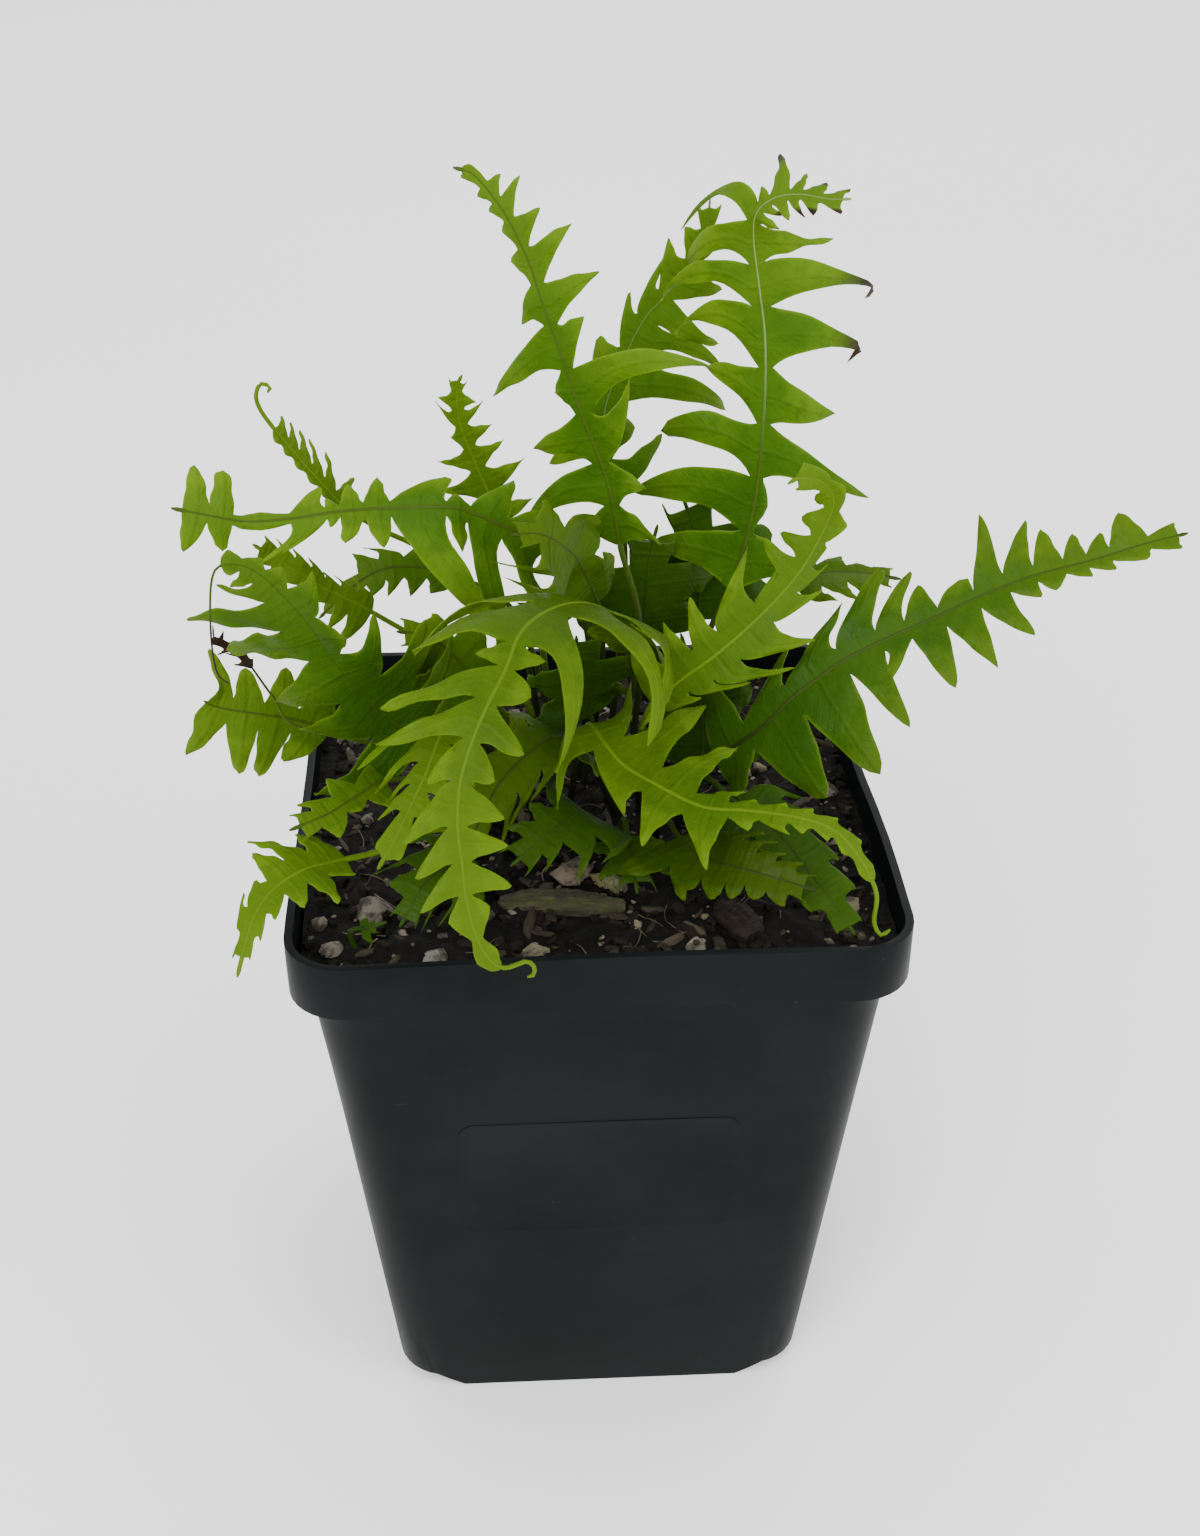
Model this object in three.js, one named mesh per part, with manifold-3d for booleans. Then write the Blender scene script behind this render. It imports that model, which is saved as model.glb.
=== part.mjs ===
// A young dragon tail fern growing in a square nursery pot.
// Millimetres, +Z up, the front of the pot towards -Y, origin in the middle of the pot's underside.
import * as THREE from 'three';
import { mergeVertices } from 'three/addons/utils/BufferGeometryUtils.js';
import Module from 'manifold-3d';

const wasm = await Module();
wasm.setup();

// Driving dimensions of the pot
const potWidth = 102; // outside, across the rim
const potHeight = 109;
const footWidth = 74.5; // outside, across the underside
const bandHeight = 10.6; // the rim's upright band
const bandFlare = 0.3; // how much wider the band is at its top than at its lower edge
const ledge = 3; // how far the band stands out from the wall below it
const wall = 1.4;
const floorThickness = 1.6;
const topCorner = 10; // corner radius at the rim
const footCorner = 9;
const cornerLift = 3; // the underside is raised this far at its four corners
const liftStart = 30.5; // distance from the middle at which a raised corner starts
const liftSlope = 5; // run of the slope between foot and raised corner
const drainRadius = 3.5;
const drainOffset = 28;
const drainSides = 16;
const bandStep = 0.6; // height of the slope under the band
const footSlack = 0.5; // how much thinner the wall is just above the floor
const overlap = 1; // how far a cutting shape goes past what it cuts

// Driving dimensions of what fills it
const clearance = 0.3; // between pieces that touch
const soilDepthBelowRim = 6;
const soilRelief = 1.1; // height of the lumps in the soil
const longLumps = [7, 9]; // lengths of the soil's broad waves along x and y
const shortLumps = [3.1, 4.3, 3.7, 6]; // and of the two slanting ones that break them up
const longShare = 0.65; // of the relief that the broad waves make
const soilCells = 8; // squares along one side of the soil's surface
const holeSides = 4; // of the hole each stalk stands in
const holeStep = 9; // length of one straight part of that hole
const stoneUnevenness = 0.14; // share by which a stone's faces move in and out
const stoneShowing = 0.12; // how far a stone's middle lies above the soil, as a share of its height
const barkShowing = 0.25; // the same for a piece of bark, as a share of its thickness
const barkArch = 0.9; // rise of a bark piece's middle over its ends
const barkBevel = 0.5; // how far its top face is drawn in

// Driving dimensions shared by the fronds
const bladeThickness = 0.6;
const stalkRadius = 0.95; // at the soil
const tipRadius = 0.42; // of the rib at the frond's tip
const ribTaper = 0.6; // power by which the rib thins towards its tip
const ribCrest = 0.75; // how high the rib stands over the blade's middle, as a share of its radius
const leastCrest = 0.12; // but at least this much above the blade
const leastKeel = 0.25; // and at least this much below it
const stalkGap = 9; // length of one straight part of the bare stalk
const stationGap = 5; // most distance between two sections of the rib where it carries lobes
const tendrilGap = 1.6; // the same beyond the last lobe, where the rib goes on bare and often curls
const longLobe = 8; // a lobe this long or longer has a second pair of shoulders
const shortShoulders = [0.12]; // where along a lobe its two edges turn, as shares of its free length
const longShoulders = [0.04, 0.55];
const leastWing = 0.3; // blade along the rib even where the lobes aren't joined
const mostWing = 0.75; // share of a lobe's length that may be joined to its neighbours
const notchShare = 0.8; // how far out the notch between two lobes lies, as a share of the joined part
const notchMargin = 0.2;
const leanPower = 1.3; // above 1 a leaning lobe starts out square to the rib

const soilTop = potHeight - soilDepthBelowRim;

const colours = {
  pot: 0x15191b,
  soil: 0x1d1610,
  perlite: 0xb9b49c,
  moss: 0x5b5a2c,
  bark: 0x4a2f1f,
  young: 0x86b52a,
  mature: 0x4f8a22,
  shaded: 0x2f5f1d,
  withered: 0x4a3b22,
};

const materials = {
  pot: new THREE.MeshStandardMaterial({ color: colours.pot, roughness: 0.42, metalness: 0 }),
  soil: new THREE.MeshStandardMaterial({ color: colours.soil, roughness: 0.95, metalness: 0 }),
  perlite: new THREE.MeshStandardMaterial({ color: colours.perlite, roughness: 0.85, metalness: 0 }),
  moss: new THREE.MeshStandardMaterial({ color: colours.moss, roughness: 0.9, metalness: 0 }),
  bark: new THREE.MeshStandardMaterial({ color: colours.bark, roughness: 0.85, metalness: 0 }),
  young: new THREE.MeshStandardMaterial({ color: colours.young, roughness: 0.5, metalness: 0 }),
  mature: new THREE.MeshStandardMaterial({ color: colours.mature, roughness: 0.5, metalness: 0 }),
  shaded: new THREE.MeshStandardMaterial({ color: colours.shaded, roughness: 0.5, metalness: 0 }),
  withered: new THREE.MeshStandardMaterial({ color: colours.withered, roughness: 0.8, metalness: 0 }),
};

// Stones lying in the soil: where, how long, wide and high, and how far turned in degrees
const stones = [
  { name: 'pebble_back', at: [-4.5, -18.5], size: [6.5, 5.5, 4.5], turn: 15 },
  { name: 'pebble_yellow', at: [3, -21.5], size: [6, 4, 3.5], turn: -20 },
  { name: 'pebble_left', at: [-37.5, -27.5], size: [6, 5, 4.5], turn: 30 },
  { name: 'perlite_corner', at: [-44, -38], size: [4, 3.5, 3], turn: 60 },
  { name: 'perlite_front_left', at: [-27, -41.5], size: [4.5, 3.5, 3], turn: 80 },
  { name: 'perlite_front', at: [-11, -40.5], size: [4.5, 3, 2.6], turn: 10 },
  { name: 'perlite_middle', at: [15.5, -41], size: [3.6, 3, 2.6], turn: 45 },
  { name: 'perlite_right', at: [41, -31], size: [5, 4, 3.2], turn: -40 },
  { name: 'perlite_right_back', at: [43, 4], size: [4.5, 4, 3], turn: 20 },
  { name: 'perlite_back', at: [21, 38], size: [5, 4, 3.2], turn: -65 },
];

// Pieces of bark: the same, with the width along each as shares of the full width
const barks = [
  {
    name: 'mossy_strip',
    tone: 'moss',
    at: [-6, -27.5],
    size: [21, 6.5, 2],
    turn: -5,
    edge: [0.45, 0.85, 1, 0.9, 1, 0.95, 0.8, 0.5, 0.15],
  },
  {
    name: 'bark_chip',
    tone: 'bark',
    at: [23, -34],
    size: [11, 6.5, 1.8],
    turn: -62,
    edge: [0.35, 0.8, 1, 0.9, 0.95, 0.55],
  },
];

// The fronds, in millimetres and degrees. The route is the rib's course from its foot in the soil; face
// and faceEnd are the ways its upper surface looks at the foot and at the tip. The lobes grow between
// the distances in bases, one on the left and one on the right of each length of rib. A lobe is its
// size and its lean towards the tip, and then, where they differ from the frond's own, its droop, arch,
// waist and taper. Droop is how far a lobe curves down. Arch bows it towards the tip, as a share of its
// size. Waist is the width of its foot as a share of the length between its bases, and a low taper
// keeps it wide until near its tip. Fold is how steeply the halves of the blade rise from the rib, and
// web is the share of a lobe that is joined to its neighbours.
const fronds = [
  {
    name: 'frond_tall_left',
    tone: 'mature',
    route: [
      [1, 12, 97], [9.5, 13, 129.5], [6, 13, 150.5], [4.5, 12, 159.5], [3, 12, 165.5],
      [-0.5, 11, 175.5], [-4, 10, 187], [-7, 9, 196.5], [-9, 9, 203], [-12.5, 8, 211], [-17, 10, 216.5],
      [-20.5, 13, 217],
    ],
    face: [-0.2, -1, 0.3],
    faceEnd: [-0.5, -0.8, 0.2],
    bases: [55, 63, 71.5, 81.5, 90, 98.5, 106, 112.5, 118, 121.5, 124.5, 129],
    left: [
      [9, -40, 50], [21, -25], [11, -5, 25, 0.05, 0.75, 0.8], [3, 0], [18, -30, 25, 0, 0.8, 0.85],
      [6, -35], [3, 20], [2, 20], [2, 20], [2, 20], [2, 50],
    ],
    right: [
      [8, -35], [6, -20], [14, 45, 10, -0.1], [24, -10, 60, 0.22], [7, 40], [11, 20], [10, 30], [6, 30],
      [6, 30], [3, 20], [1, 50],
    ],
    fold: 5,
    droop: 25,
    web: 0.06,
    waist: 0.85,
    taper: 0.8,
    arch: 0.1,
  },
  {
    name: 'frond_tall_right',
    tone: 'mature',
    route: [
      [11, 15, 97], [22, 18, 128.5], [27, 19, 141], [29.5, 19, 152.5], [30.5, 19, 162], [31, 19, 174],
      [30.5, 18, 185.5], [29, 16, 195], [27.5, 14, 204], [27.5, 11, 209.5], [30, 9, 212.5],
      [33.5, 6, 214], [37.5, 2, 214.5], [40.5, -1, 215.5],
    ],
    face: [0, -1, 0.3],
    faceEnd: [-0.2, -0.8, 0.8],
    bases: [44, 55.5, 66, 76, 86.5, 98, 106.5, 115, 118.5, 121, 124.5, 127, 131, 135],
    left: [
      [16, -10, 30, 0.05], [22, -10, 25, 0.13, 0.95, 0.55], [18, 0, 30, 0.17, 0.7, 0.3],
      [11, 20, 30, 0.15, 0.85, 0.9], [16, -5, 40, 0.34, 1, 1.5], [19, -15, 50, 0.3, 0.8, 1],
      [14, -30, 40, 0.23, 0.7, 0.25], [24, -55, 25, 0.26, 0.9, 0.6], [3, 0], [9, -15], [4, 5], [3, 20],
      [3, 50],
    ],
    right: [
      [10, 0], [2, 0], [23, -25, 35, 0, 0.75, 1], [13, -20, 30, -0.05, 0.9, 0.8],
      [19, -25, 40, 0.1, 0.8, 1.2], [22, -25, 45, 0.12, 1.05, 1.4], [13, -10, 25, 0, 0.85, 1.35],
      [4, 0], [4, 35, 60, 0], [4, 20], [4, 35, 40, 0], [3, 30], [3, 50],
    ],
    fold: 0,
    droop: 30,
    web: 0.03,
    waist: 0.84,
    taper: 0.62,
    arch: 0.1,
  },
  {
    name: 'frond_back_grey',
    tone: 'mature',
    route: [
      [4, 20, 97], [8, 28, 139.5], [4.5, 32, 155.5], [4.5, 33, 167], [8.5, 34, 177.5],
      [11.5, 34, 183.5], [14.5, 34, 187], [19, 33, 193.5], [21.5, 32, 199.5], [22, 31, 205.5],
    ],
    face: [0.1, -1, 0.2],
    faceEnd: [0.2, -1, 0.3],
    bases: [55, 62.5, 73, 83.5, 90, 95.5, 103, 109.5, 113.5],
    left: [
      [9, 5], [11, -35, 35], [7, 40, 35, 0, 0.9, 0.45], [7, 55, 35, 0, 0.85, 0.35],
      [8, 55, 35, 0, 0.9, 0.4], [7, 40], [4, 30], [3, 50],
    ],
    right: [
      [13, 20], [6, 0], [23, 0, 35, 0.1, 0.6, 0.6], [19, -5, 30, 0.12, 0.6, 0.6], [14, 10], [8, 15],
      [4, 30], [3, 50],
    ],
    fold: 5,
    droop: 35,
    web: 0.15,
    waist: 0.85,
    taper: 0.7,
    arch: 0,
  },
  {
    name: 'frond_small_upright',
    tone: 'young',
    route: [
      [-5, 20, 97], [-8.5, 30, 131], [-14.5, 34, 143.5], [-16, 35, 149], [-18.5, 35, 156],
      [-21, 35, 163.5], [-21.5, 35, 170.5], [-20.5, 34, 173.5],
    ],
    face: [0.1, -1, 0.3],
    faceEnd: [0, -1, 0.3],
    bases: [50, 56.5, 62.5, 67, 71.5, 74.5, 78, 80],
    left: [[8, 10], [8, 15], [6, 20], [2, 20], [5, 50], [3, 15], [2, 50]],
    right: [[7, 10], [8, 10], [6, 10], [5, 5], [5, 30], [3, -10], [2, 50]],
    fold: 5,
    droop: 10,
    web: 0.12,
    waist: 0.72,
    taper: 1,
    arch: 0,
  },
  {
    name: 'frond_curl_left',
    tone: 'young',
    route: [
      [-7, 16, 97], [-11.5, 20, 128], [-25.5, 22, 143.5], [-35.5, 20, 151], [-41, 16, 157],
      [-44.5, 14, 162.5], [-48.5, 13, 168.5], [-51.5, 12, 173.5], [-53.5, 11, 177.5], [-54, 10, 180.5],
      [-53, 9, 183], [-51.5, 9, 182.5], [-52, 9, 181.5],
    ],
    face: [0, -0.5, 1],
    faceEnd: [0.5, -0.7, 0.6],
    bases: [75, 78.5, 82, 85.5, 89, 92, 95],
    left: [[2, 0], [1, 0], [1, 0], [1, 0], [1, 0], [1, 0]],
    right: [[6, -15], [6, 40], [6, 50], [5, 45], [4, 40], [3, 35]],
    fold: 5,
    droop: 20,
    web: 0.06,
    waist: 0.85,
    taper: 0.6,
    arch: 0,
  },
  {
    name: 'frond_long_left',
    tone: 'mature',
    route: [
      [-2, 12, 97], [0.5, 12, 132], [-7, 10, 151], [-14.5, 7, 157.5], [-19.5, 5, 161],
      [-23.5, 2, 163.5], [-32.5, -2, 165.5], [-40.5, -7, 167.5], [-47, -10, 168], [-54.5, -12, 168.5],
      [-59.5, -15, 171], [-65.5, -18, 174],
    ],
    face: [0, -0.9, 0.7],
    faceEnd: [0, -0.9, 0.5],
    bases: [56, 65.5, 73, 78.5, 88.5, 93.5, 98, 100.5, 106.5, 116, 120.5, 125],
    left: [
      [21, -50], [25, -40, 50, 0, 0.9, 0.35], [7, -25], [23, -35, 40, 0, 0.85, 0.35],
      [6, -10, 20, 0, 1, 0.5], [5, 20, 20, 0, 1, 0.4], [2, 20], [12, 58, 30, 0, 0.8, 0.6], [1, 0],
      [5, -20, 20, 0, 1, 0.4], [6, 5, 20, 0, 0.95, 0.5],
    ],
    right: [
      [5, -20], [9, -25, 35, 0, 1, 0.9], [2, 20], [7, -50, 15, 0, 0.9, 0.35], [5, -15], [4, -5],
      [2, 20], [5, -35, 20, 0, 0.8, 0.5], [1, 0], [7, 5, 10, 0, 1, 0.25], [7, 10, 10, 0, 1, 0.4],
    ],
    fold: 0,
    droop: 20,
    web: 0.06,
    waist: 0.9,
    taper: 0.6,
    arch: 0,
  },
  {
    name: 'frond_left_broad',
    tone: 'mature',
    route: [
      [-7, 6, 97], [-16, -6, 117], [-27.5, -13, 125.5], [-34.5, -19, 136.5], [-40, -25, 147.5],
      [-44, -30, 158.5], [-48.5, -33, 167], [-52.5, -34, 171.5], [-56.5, -35, 172.5], [-58, -36, 170.5],
      [-58.5, -38, 165], [-58.5, -39, 159.5], [-58, -39, 156], [-56.5, -39, 154.5],
    ],
    face: [0.1, -0.6, 0.9],
    faceEnd: [-0.5, -0.8, 0.4],
    bases: [44.5, 54, 64.5, 75, 84.5, 91.5, 96, 99.5, 102.5],
    left: [
      [18, 20], [13, 35], [12, -5], [15, 5, 20, 0.1], [16, 25, 15, 0.12], [8, 40], [4, 20], [1.5, 10],
    ],
    right: [[17, 10], [16, 15], [14, 45], [4, -30], [7, 35], [3, 20], [2, -15], [2, 10]],
    fold: 8,
    droop: 25,
    web: 0.26,
    waist: 0.92,
    taper: 0.7,
    arch: 0,
  },
  {
    name: 'frond_bright_back_left',
    tone: 'young',
    route: [
      [-6, 10, 97], [-12, 6, 126], [-29, 8, 135.5], [-39, 6, 143.5], [-44, 5, 147], [-48.5, 3, 151.5],
      [-52.5, 2, 155], [-55.5, 0, 158.5],
    ],
    face: [0, -0.7, 0.8],
    faceEnd: [0, -0.8, 0.6],
    bases: [60.5, 64.5, 67.5, 71, 74.5, 78, 81, 84.5],
    left: [[7, 10], [6, 10], [3.5, 45], [3.5, 45], [3.5, 45], [3, 45], [3, 50]],
    right: [[5, 50], [4, 55], [3, 50], [4, 50], [4, 50], [4, 50], [3, 50]],
    fold: 5,
    droop: 10,
    web: 0.3,
    waist: 0.85,
    taper: 0.7,
    arch: 0,
  },
  {
    name: 'frond_left_hanging',
    tone: 'mature',
    route: [
      [-9, 3, 97], [-24.5, -2, 118], [-37, -7, 123.5], [-45, -9, 128], [-49.5, -10, 130.5],
      [-55, -12, 133], [-59.5, -13, 134.5], [-62.5, -14, 136], [-64, -15, 137.5],
    ],
    face: [0, -0.9, 0.3],
    faceEnd: [-0.2, -0.9, 0.3],
    bases: [50, 56.5, 62.5, 68, 72.5],
    left: [[8, 10], [11, 0], [11, -5], [10, 5]],
    right: [[6, -5], [8, 5], [7, 10], [10, 30]],
    fold: 0,
    droop: 15,
    web: 0.2,
    waist: 0.92,
    taper: 0.45,
    arch: 0,
  },
  {
    name: 'frond_withered',
    tone: 'withered',
    route: [
      [-8, 9, 97], [-21, 2, 119.5], [-37, -7, 125.5], [-49, -17, 133.5], [-52.5, -20, 141.5],
      [-56, -22, 149.5], [-58, -23, 152], [-60, -24, 154], [-60, -25, 157],
    ],
    face: [0, -0.5, 1],
    faceEnd: [-0.3, -0.8, 0.4],
    bases: [80, 82.5, 85, 87, 89.5],
    left: [[2, 20], [2, 50], [2, 20], [1, 40]],
    right: [[1, 20], [2, 20], [1, 50], [2, 20]],
    fold: 10,
    droop: 15,
    web: 0.05,
    waist: 0.5,
    taper: 1,
    arch: 0,
  },
  {
    name: 'frond_front_arch',
    tone: 'young',
    route: [
      [2, 3, 97], [7.5, 3, 127], [6.5, -3, 139.5], [3.5, -9, 148.5], [-2, -15, 154], [-7.5, -22, 156.5],
      [-12, -29, 156.5], [-14.5, -35, 153.5], [-17.5, -40, 150], [-20, -44, 146], [-22, -48, 141],
      [-22.5, -52, 136], [-22, -55, 131.5], [-21.5, -57.5, 126], [-20, -60, 120.5], [-18, -61, 117],
      [-16, -61.5, 116], [-14, -62, 117], [-12.5, -62, 117.5], [-11.5, -62, 116.5], [-11.5, -62, 115],
      [-12.5, -62, 114.5],
    ],
    face: [0.2, 0.9, 1],
    faceEnd: [0, -0.9, 0.45],
    bases: [40.5, 53.5, 63, 74, 86, 90.5, 97, 103.5, 110, 117, 122.5, 127.5, 134.5, 140.5],
    left: [
      [14, -35, 100, 0, 0.6, 0.4], [25, 5, 95, 0, 0.55, 0.4], [28, 0, 80, 0, 0.6, 0.4],
      [27, 40, 70, 0, 0.62, 0.4], [5, -10], [5, -10, 30, 0, 1, 0.5], [8, 15, 15, 0.05, 0.8, 0.55],
      [5, 20, 10, 0, 0.9, 0.6], [7, 15, 5, 0, 0.85, 0.7], [7, 10, 5, 0, 0.85, 0.7],
      [7, 15, 5, 0, 0.9, 0.6], [3, -15], [1.5, 10],
    ],
    right: [
      [6, 10], [8, 20], [26, 55, 75, 0, 0.9, 0.6], [19, 45, 40, 0, 0.9, 0.55], [5, 10],
      [18, 35, 15, 0.05, 0.8, 0.5], [16, 35, 10, 0.05, 0.8, 0.5], [6, 45, 10, 0, 1, 0.4],
      [10, 40, 5, 0.03, 0.85, 0.6], [8, 30, 5, 0.03, 0.9, 0.6], [8, 35, 5, 0.03, 0.9, 0.6], [3, 0],
      [1.5, 10],
    ],
    fold: 0,
    droop: 10,
    web: 0.1,
    waist: 0.88,
    taper: 0.75,
    arch: 0,
  },
  {
    name: 'frond_front_right',
    tone: 'young',
    route: [
      [7, 1, 97], [1.5, -4, 114], [-1, -10, 125.5], [-0.5, -15, 131], [1.5, -20, 130.5],
      [4.5, -24, 128.5], [9, -28, 127.5], [16.5, -34, 126.5], [24, -38, 128], [31.5, -42, 129],
      [37, -44, 127.5], [41, -46, 123], [43.5, -47, 117.5], [43.5, -47, 112], [44.5, -48, 110],
      [46, -48, 111],
    ],
    face: [-0.1, 0.2, 1],
    faceEnd: [0.3, -1, 0.5],
    bases: [39, 45.5, 56, 64, 71, 76.5, 81.5, 85.5, 89.5, 94.5, 99.5],
    left: [[16, -45], [22, -5], [15, 10], [6, 50], [2, 40], [2, 40], [2, 40], [2, 40], [2, 40], [1, 30]],
    right: [
      [17, 45], [9, 45], [10, 10], [10, 15], [3, 20], [4, 50], [2, 20], [2, 35], [1.5, 20], [1, 20],
    ],
    fold: 0,
    droop: 20,
    web: 0.2,
    waist: 0.75,
    taper: 0.75,
    arch: 0,
  },
  {
    name: 'frond_right_broad',
    tone: 'mature',
    route: [
      [13, 6, 97], [17.5, -4, 112.5], [24, -8, 121], [29, -10, 126.5], [33.5, -11, 132.5],
      [37.5, -11, 136], [42.5, -11, 140], [50, -10, 143.5], [57.5, -9, 146.5], [64.5, -8, 149.5],
      [73, -7, 152.5], [84, -6, 155], [91.5, -6, 157.5], [99.5, -5, 159],
    ],
    face: [-0.2, -0.8, 0.9],
    faceEnd: [-0.1, -0.8, 0.8],
    bases: [27, 35.5, 46.5, 57, 64, 69, 75, 81.5, 87, 92, 97, 101, 105, 111.5, 116.5],
    left: [
      [14, 10], [12, 60], [13, 55, 15, 0, 0.8, 0.6], [14, 40, 15, 0, 0.95, 0.3],
      [11, 40, 15, 0, 0.95, 0.4], [6, 15], [4, 30, 10, 0, 1, 0.3], [13, 15, 10, 0.05, 0.85, 0.75],
      [10, 25], [7, 5], [5, 10], [4, 20], [6, 0], [3, 50],
    ],
    right: [
      [9, -25], [16, -5, 15, 0, 1, 0.5], [19, 0, 15, 0, 1, 0.6], [15, 5, 15, 0, 0.8, 0.6],
      [8, -35, 15, 0, 0.75, 0.4], [12, 0, 15, 0, 0.95, 0.55], [12, 5, 15, 0, 0.95, 0.8], [10, 20],
      [4, 30], [3, 0], [3, 40], [3, 40], [3, 40], [3, 50],
    ],
    fold: 8,
    droop: 15,
    web: 0.14,
    waist: 0.95,
    taper: 0.62,
    arch: 0,
  },
  {
    name: 'frond_gold_right',
    tone: 'young',
    route: [
      [10, 3, 97], [8, -5, 115.5], [9.5, -9, 129.5], [14.5, -11, 136.5], [21, -12, 142.5],
      [28.5, -11, 149.5], [34.5, -9, 156], [38.5, -7, 163], [39.5, -7, 168], [37, -8, 171.5],
      [33.5, -9, 172.5], [31.5, -10, 172],
    ],
    face: [-0.3, -0.8, 0.6],
    faceEnd: [-0.2, -1, 0.2],
    bases: [37.5, 44.5, 49.5, 55, 63, 69, 73.5, 78, 83.5, 89, 94.5],
    left: [
      [9, -5], [9, 5], [10, 15], [13, 45, 15, 0, 0.9, 0.8], [6, 60, 15, 0, 1, 0.6],
      [8, 10, 40, 0, 0.75, 0.6], [6, 0, 50, 0, 0.7, 0.6], [4, -10, 50, 0, 0.7, 0.6],
      [3, -10, 50, 0, 0.7, 0.6], [3, 50],
    ],
    right: [
      [6, 50], [10, 50, 20, 0, 0.8, 0.8], [13, 45], [11, 40], [7, 55, 15, 0, 1, 0.5], [5, 60], [2, 50],
      [3, 20], [2, 20], [3, 50],
    ],
    fold: 10,
    droop: 20,
    web: 0.25,
    waist: 0.88,
    taper: 0.75,
    arch: 0,
  },
  {
    name: 'frond_front_toothed',
    tone: 'mature',
    route: [
      [11, -7, 97], [11.5, -14, 118], [11.5, -19, 118], [13, -26, 116.5], [16.5, -33, 116],
      [22.5, -38, 117], [29, -41, 116.5], [34.5, -43, 115.5],
    ],
    face: [-0.1, 0.3, 1],
    faceEnd: [0, -0.8, 0.7],
    bases: [37.5, 42, 46.5, 50.5, 53.5, 57, 60.5, 62.5],
    left: [[5, -15], [8, 30], [8, 35], [7, 35], [5, 35], [4, 35], [3, 50]],
    right: [[12, -10], [8, 15], [6, 5], [5, 0], [4, 0], [4, 20], [3, 50]],
    fold: 5,
    droop: 15,
    web: 0.55,
    waist: 0.92,
    taper: 0.4,
    arch: 0,
  },
  {
    name: 'frond_right_old',
    tone: 'shaded',
    route: [
      [14, -2, 97], [18.5, -12, 117.5], [24, -20, 117.5], [30, -26, 116], [34, -33, 113.5],
      [37.5, -40, 111.5], [40.5, -47, 109.5],
    ],
    face: [-0.3, -0.6, 1],
    faceEnd: [-0.2, -0.6, 1],
    bases: [33.5, 39.5, 46, 52.5, 59.5, 65],
    left: [[9, 45], [7, 35], [6, 35], [5, 35], [3, 50]],
    right: [[6, 15], [4, 5], [3, 20], [4, 15], [3, 50]],
    fold: 5,
    droop: 5,
    web: 0.7,
    waist: 0.95,
    taper: 0.5,
    arch: 0,
  },
  {
    name: 'frond_corner_left',
    tone: 'young',
    route: [
      [-10, -6, 97], [-25, -25, 117.5], [-35.5, -36, 121], [-43, -44, 124.5], [-47, -49, 126.5],
      [-51, -53, 126], [-53.5, -57, 124.5], [-55, -60, 121.5], [-56.5, -63, 117],
    ],
    face: [0, -0.6, 1],
    faceEnd: [-0.4, -0.7, 0.6],
    bases: [55.5, 61.5, 66.5, 71, 76, 80, 83.5],
    left: [[4, -50], [7, 0], [5, 10], [4, 40], [3, 50], [2, 60]],
    right: [[7, 15], [10, 25], [7, 5], [4, -35], [5, -55], [2.5, 60]],
    fold: 0,
    droop: 15,
    web: 0.3,
    waist: 0.88,
    taper: 0.6,
    arch: 0,
  },
  {
    name: 'frond_low_left_grey',
    tone: 'mature',
    route: [
      [-10, 0, 97], [-26, -17, 120], [-33.5, -27, 129], [-39, -33, 129.5], [-43.5, -38, 129.5],
      [-49, -42, 129.5],
    ],
    face: [0, -0.6, 1],
    faceEnd: [0, -0.7, 0.8],
    bases: [50, 55, 60, 65, 68],
    left: [[7, -30], [2, -10], [4, 15], [3, 50]],
    right: [[4, -40], [5, 5], [5, 45], [3, 50]],
    fold: 0,
    droop: 10,
    web: 0.3,
    waist: 0.85,
    taper: 0.6,
    arch: 0,
  },
  {
    name: 'frond_low_left_inner',
    tone: 'young',
    route: [
      [-6, -3, 97], [-19, -18, 134.5], [-23.5, -25, 139.5], [-25.5, -31, 138.5], [-27.5, -35, 135],
      [-29.5, -38, 132], [-32.5, -42, 127.5], [-35.5, -44, 123],
    ],
    face: [0, -0.6, 0.9],
    faceEnd: [0, -0.8, 0.6],
    bases: [55, 59.5, 64, 68, 72.5, 80.5],
    left: [[9, 20], [8, 20], [7, 20], [5, 30], [3, 50]],
    right: [[15, 45], [11, 55], [7, 60], [6, 55], [3, 50]],
    fold: 0,
    droop: 20,
    web: 0.15,
    waist: 0.85,
    taper: 0.6,
    arch: 0,
  },
  {
    name: 'frond_low_left_dark',
    tone: 'shaded',
    route: [[-7, -9, 97], [-16, -19, 110], [-23.5, -25, 111], [-28.5, -31, 111], [-33, -37, 106.5]],
    face: [0, -0.6, 1],
    faceEnd: [0, -0.7, 0.8],
    bases: [25.5, 30.5, 35.5, 40.5, 43.5],
    left: [[8, 10], [11, 50], [7, 60], [3, 50]],
    right: [[10, 40], [11, 60], [5, 20], [3, 50]],
    fold: 0,
    droop: 10,
    web: 0.4,
    waist: 0.9,
    taper: 0.6,
    arch: 0,
  },
  {
    name: 'frond_back_right',
    tone: 'mature',
    route: [[14, 17, 97], [29, 24, 125], [38, 26, 134], [43.5, 26, 137], [50.5, 26, 137], [58, 25, 136]],
    face: [0, -0.2, 1],
    faceEnd: [0.2, -0.4, 1],
    bases: [46.5, 51.5, 56.5, 61, 64.5],
    left: [[5, 30], [4, 30], [2, -5], [3, 50]],
    right: [[8, 30], [7, 30], [5, 20], [3, 50]],
    fold: 5,
    droop: 20,
    web: 0.4,
    waist: 0.9,
    taper: 0.7,
    arch: 0,
  },
  {
    name: 'frond_grey_left',
    tone: 'mature',
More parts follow.
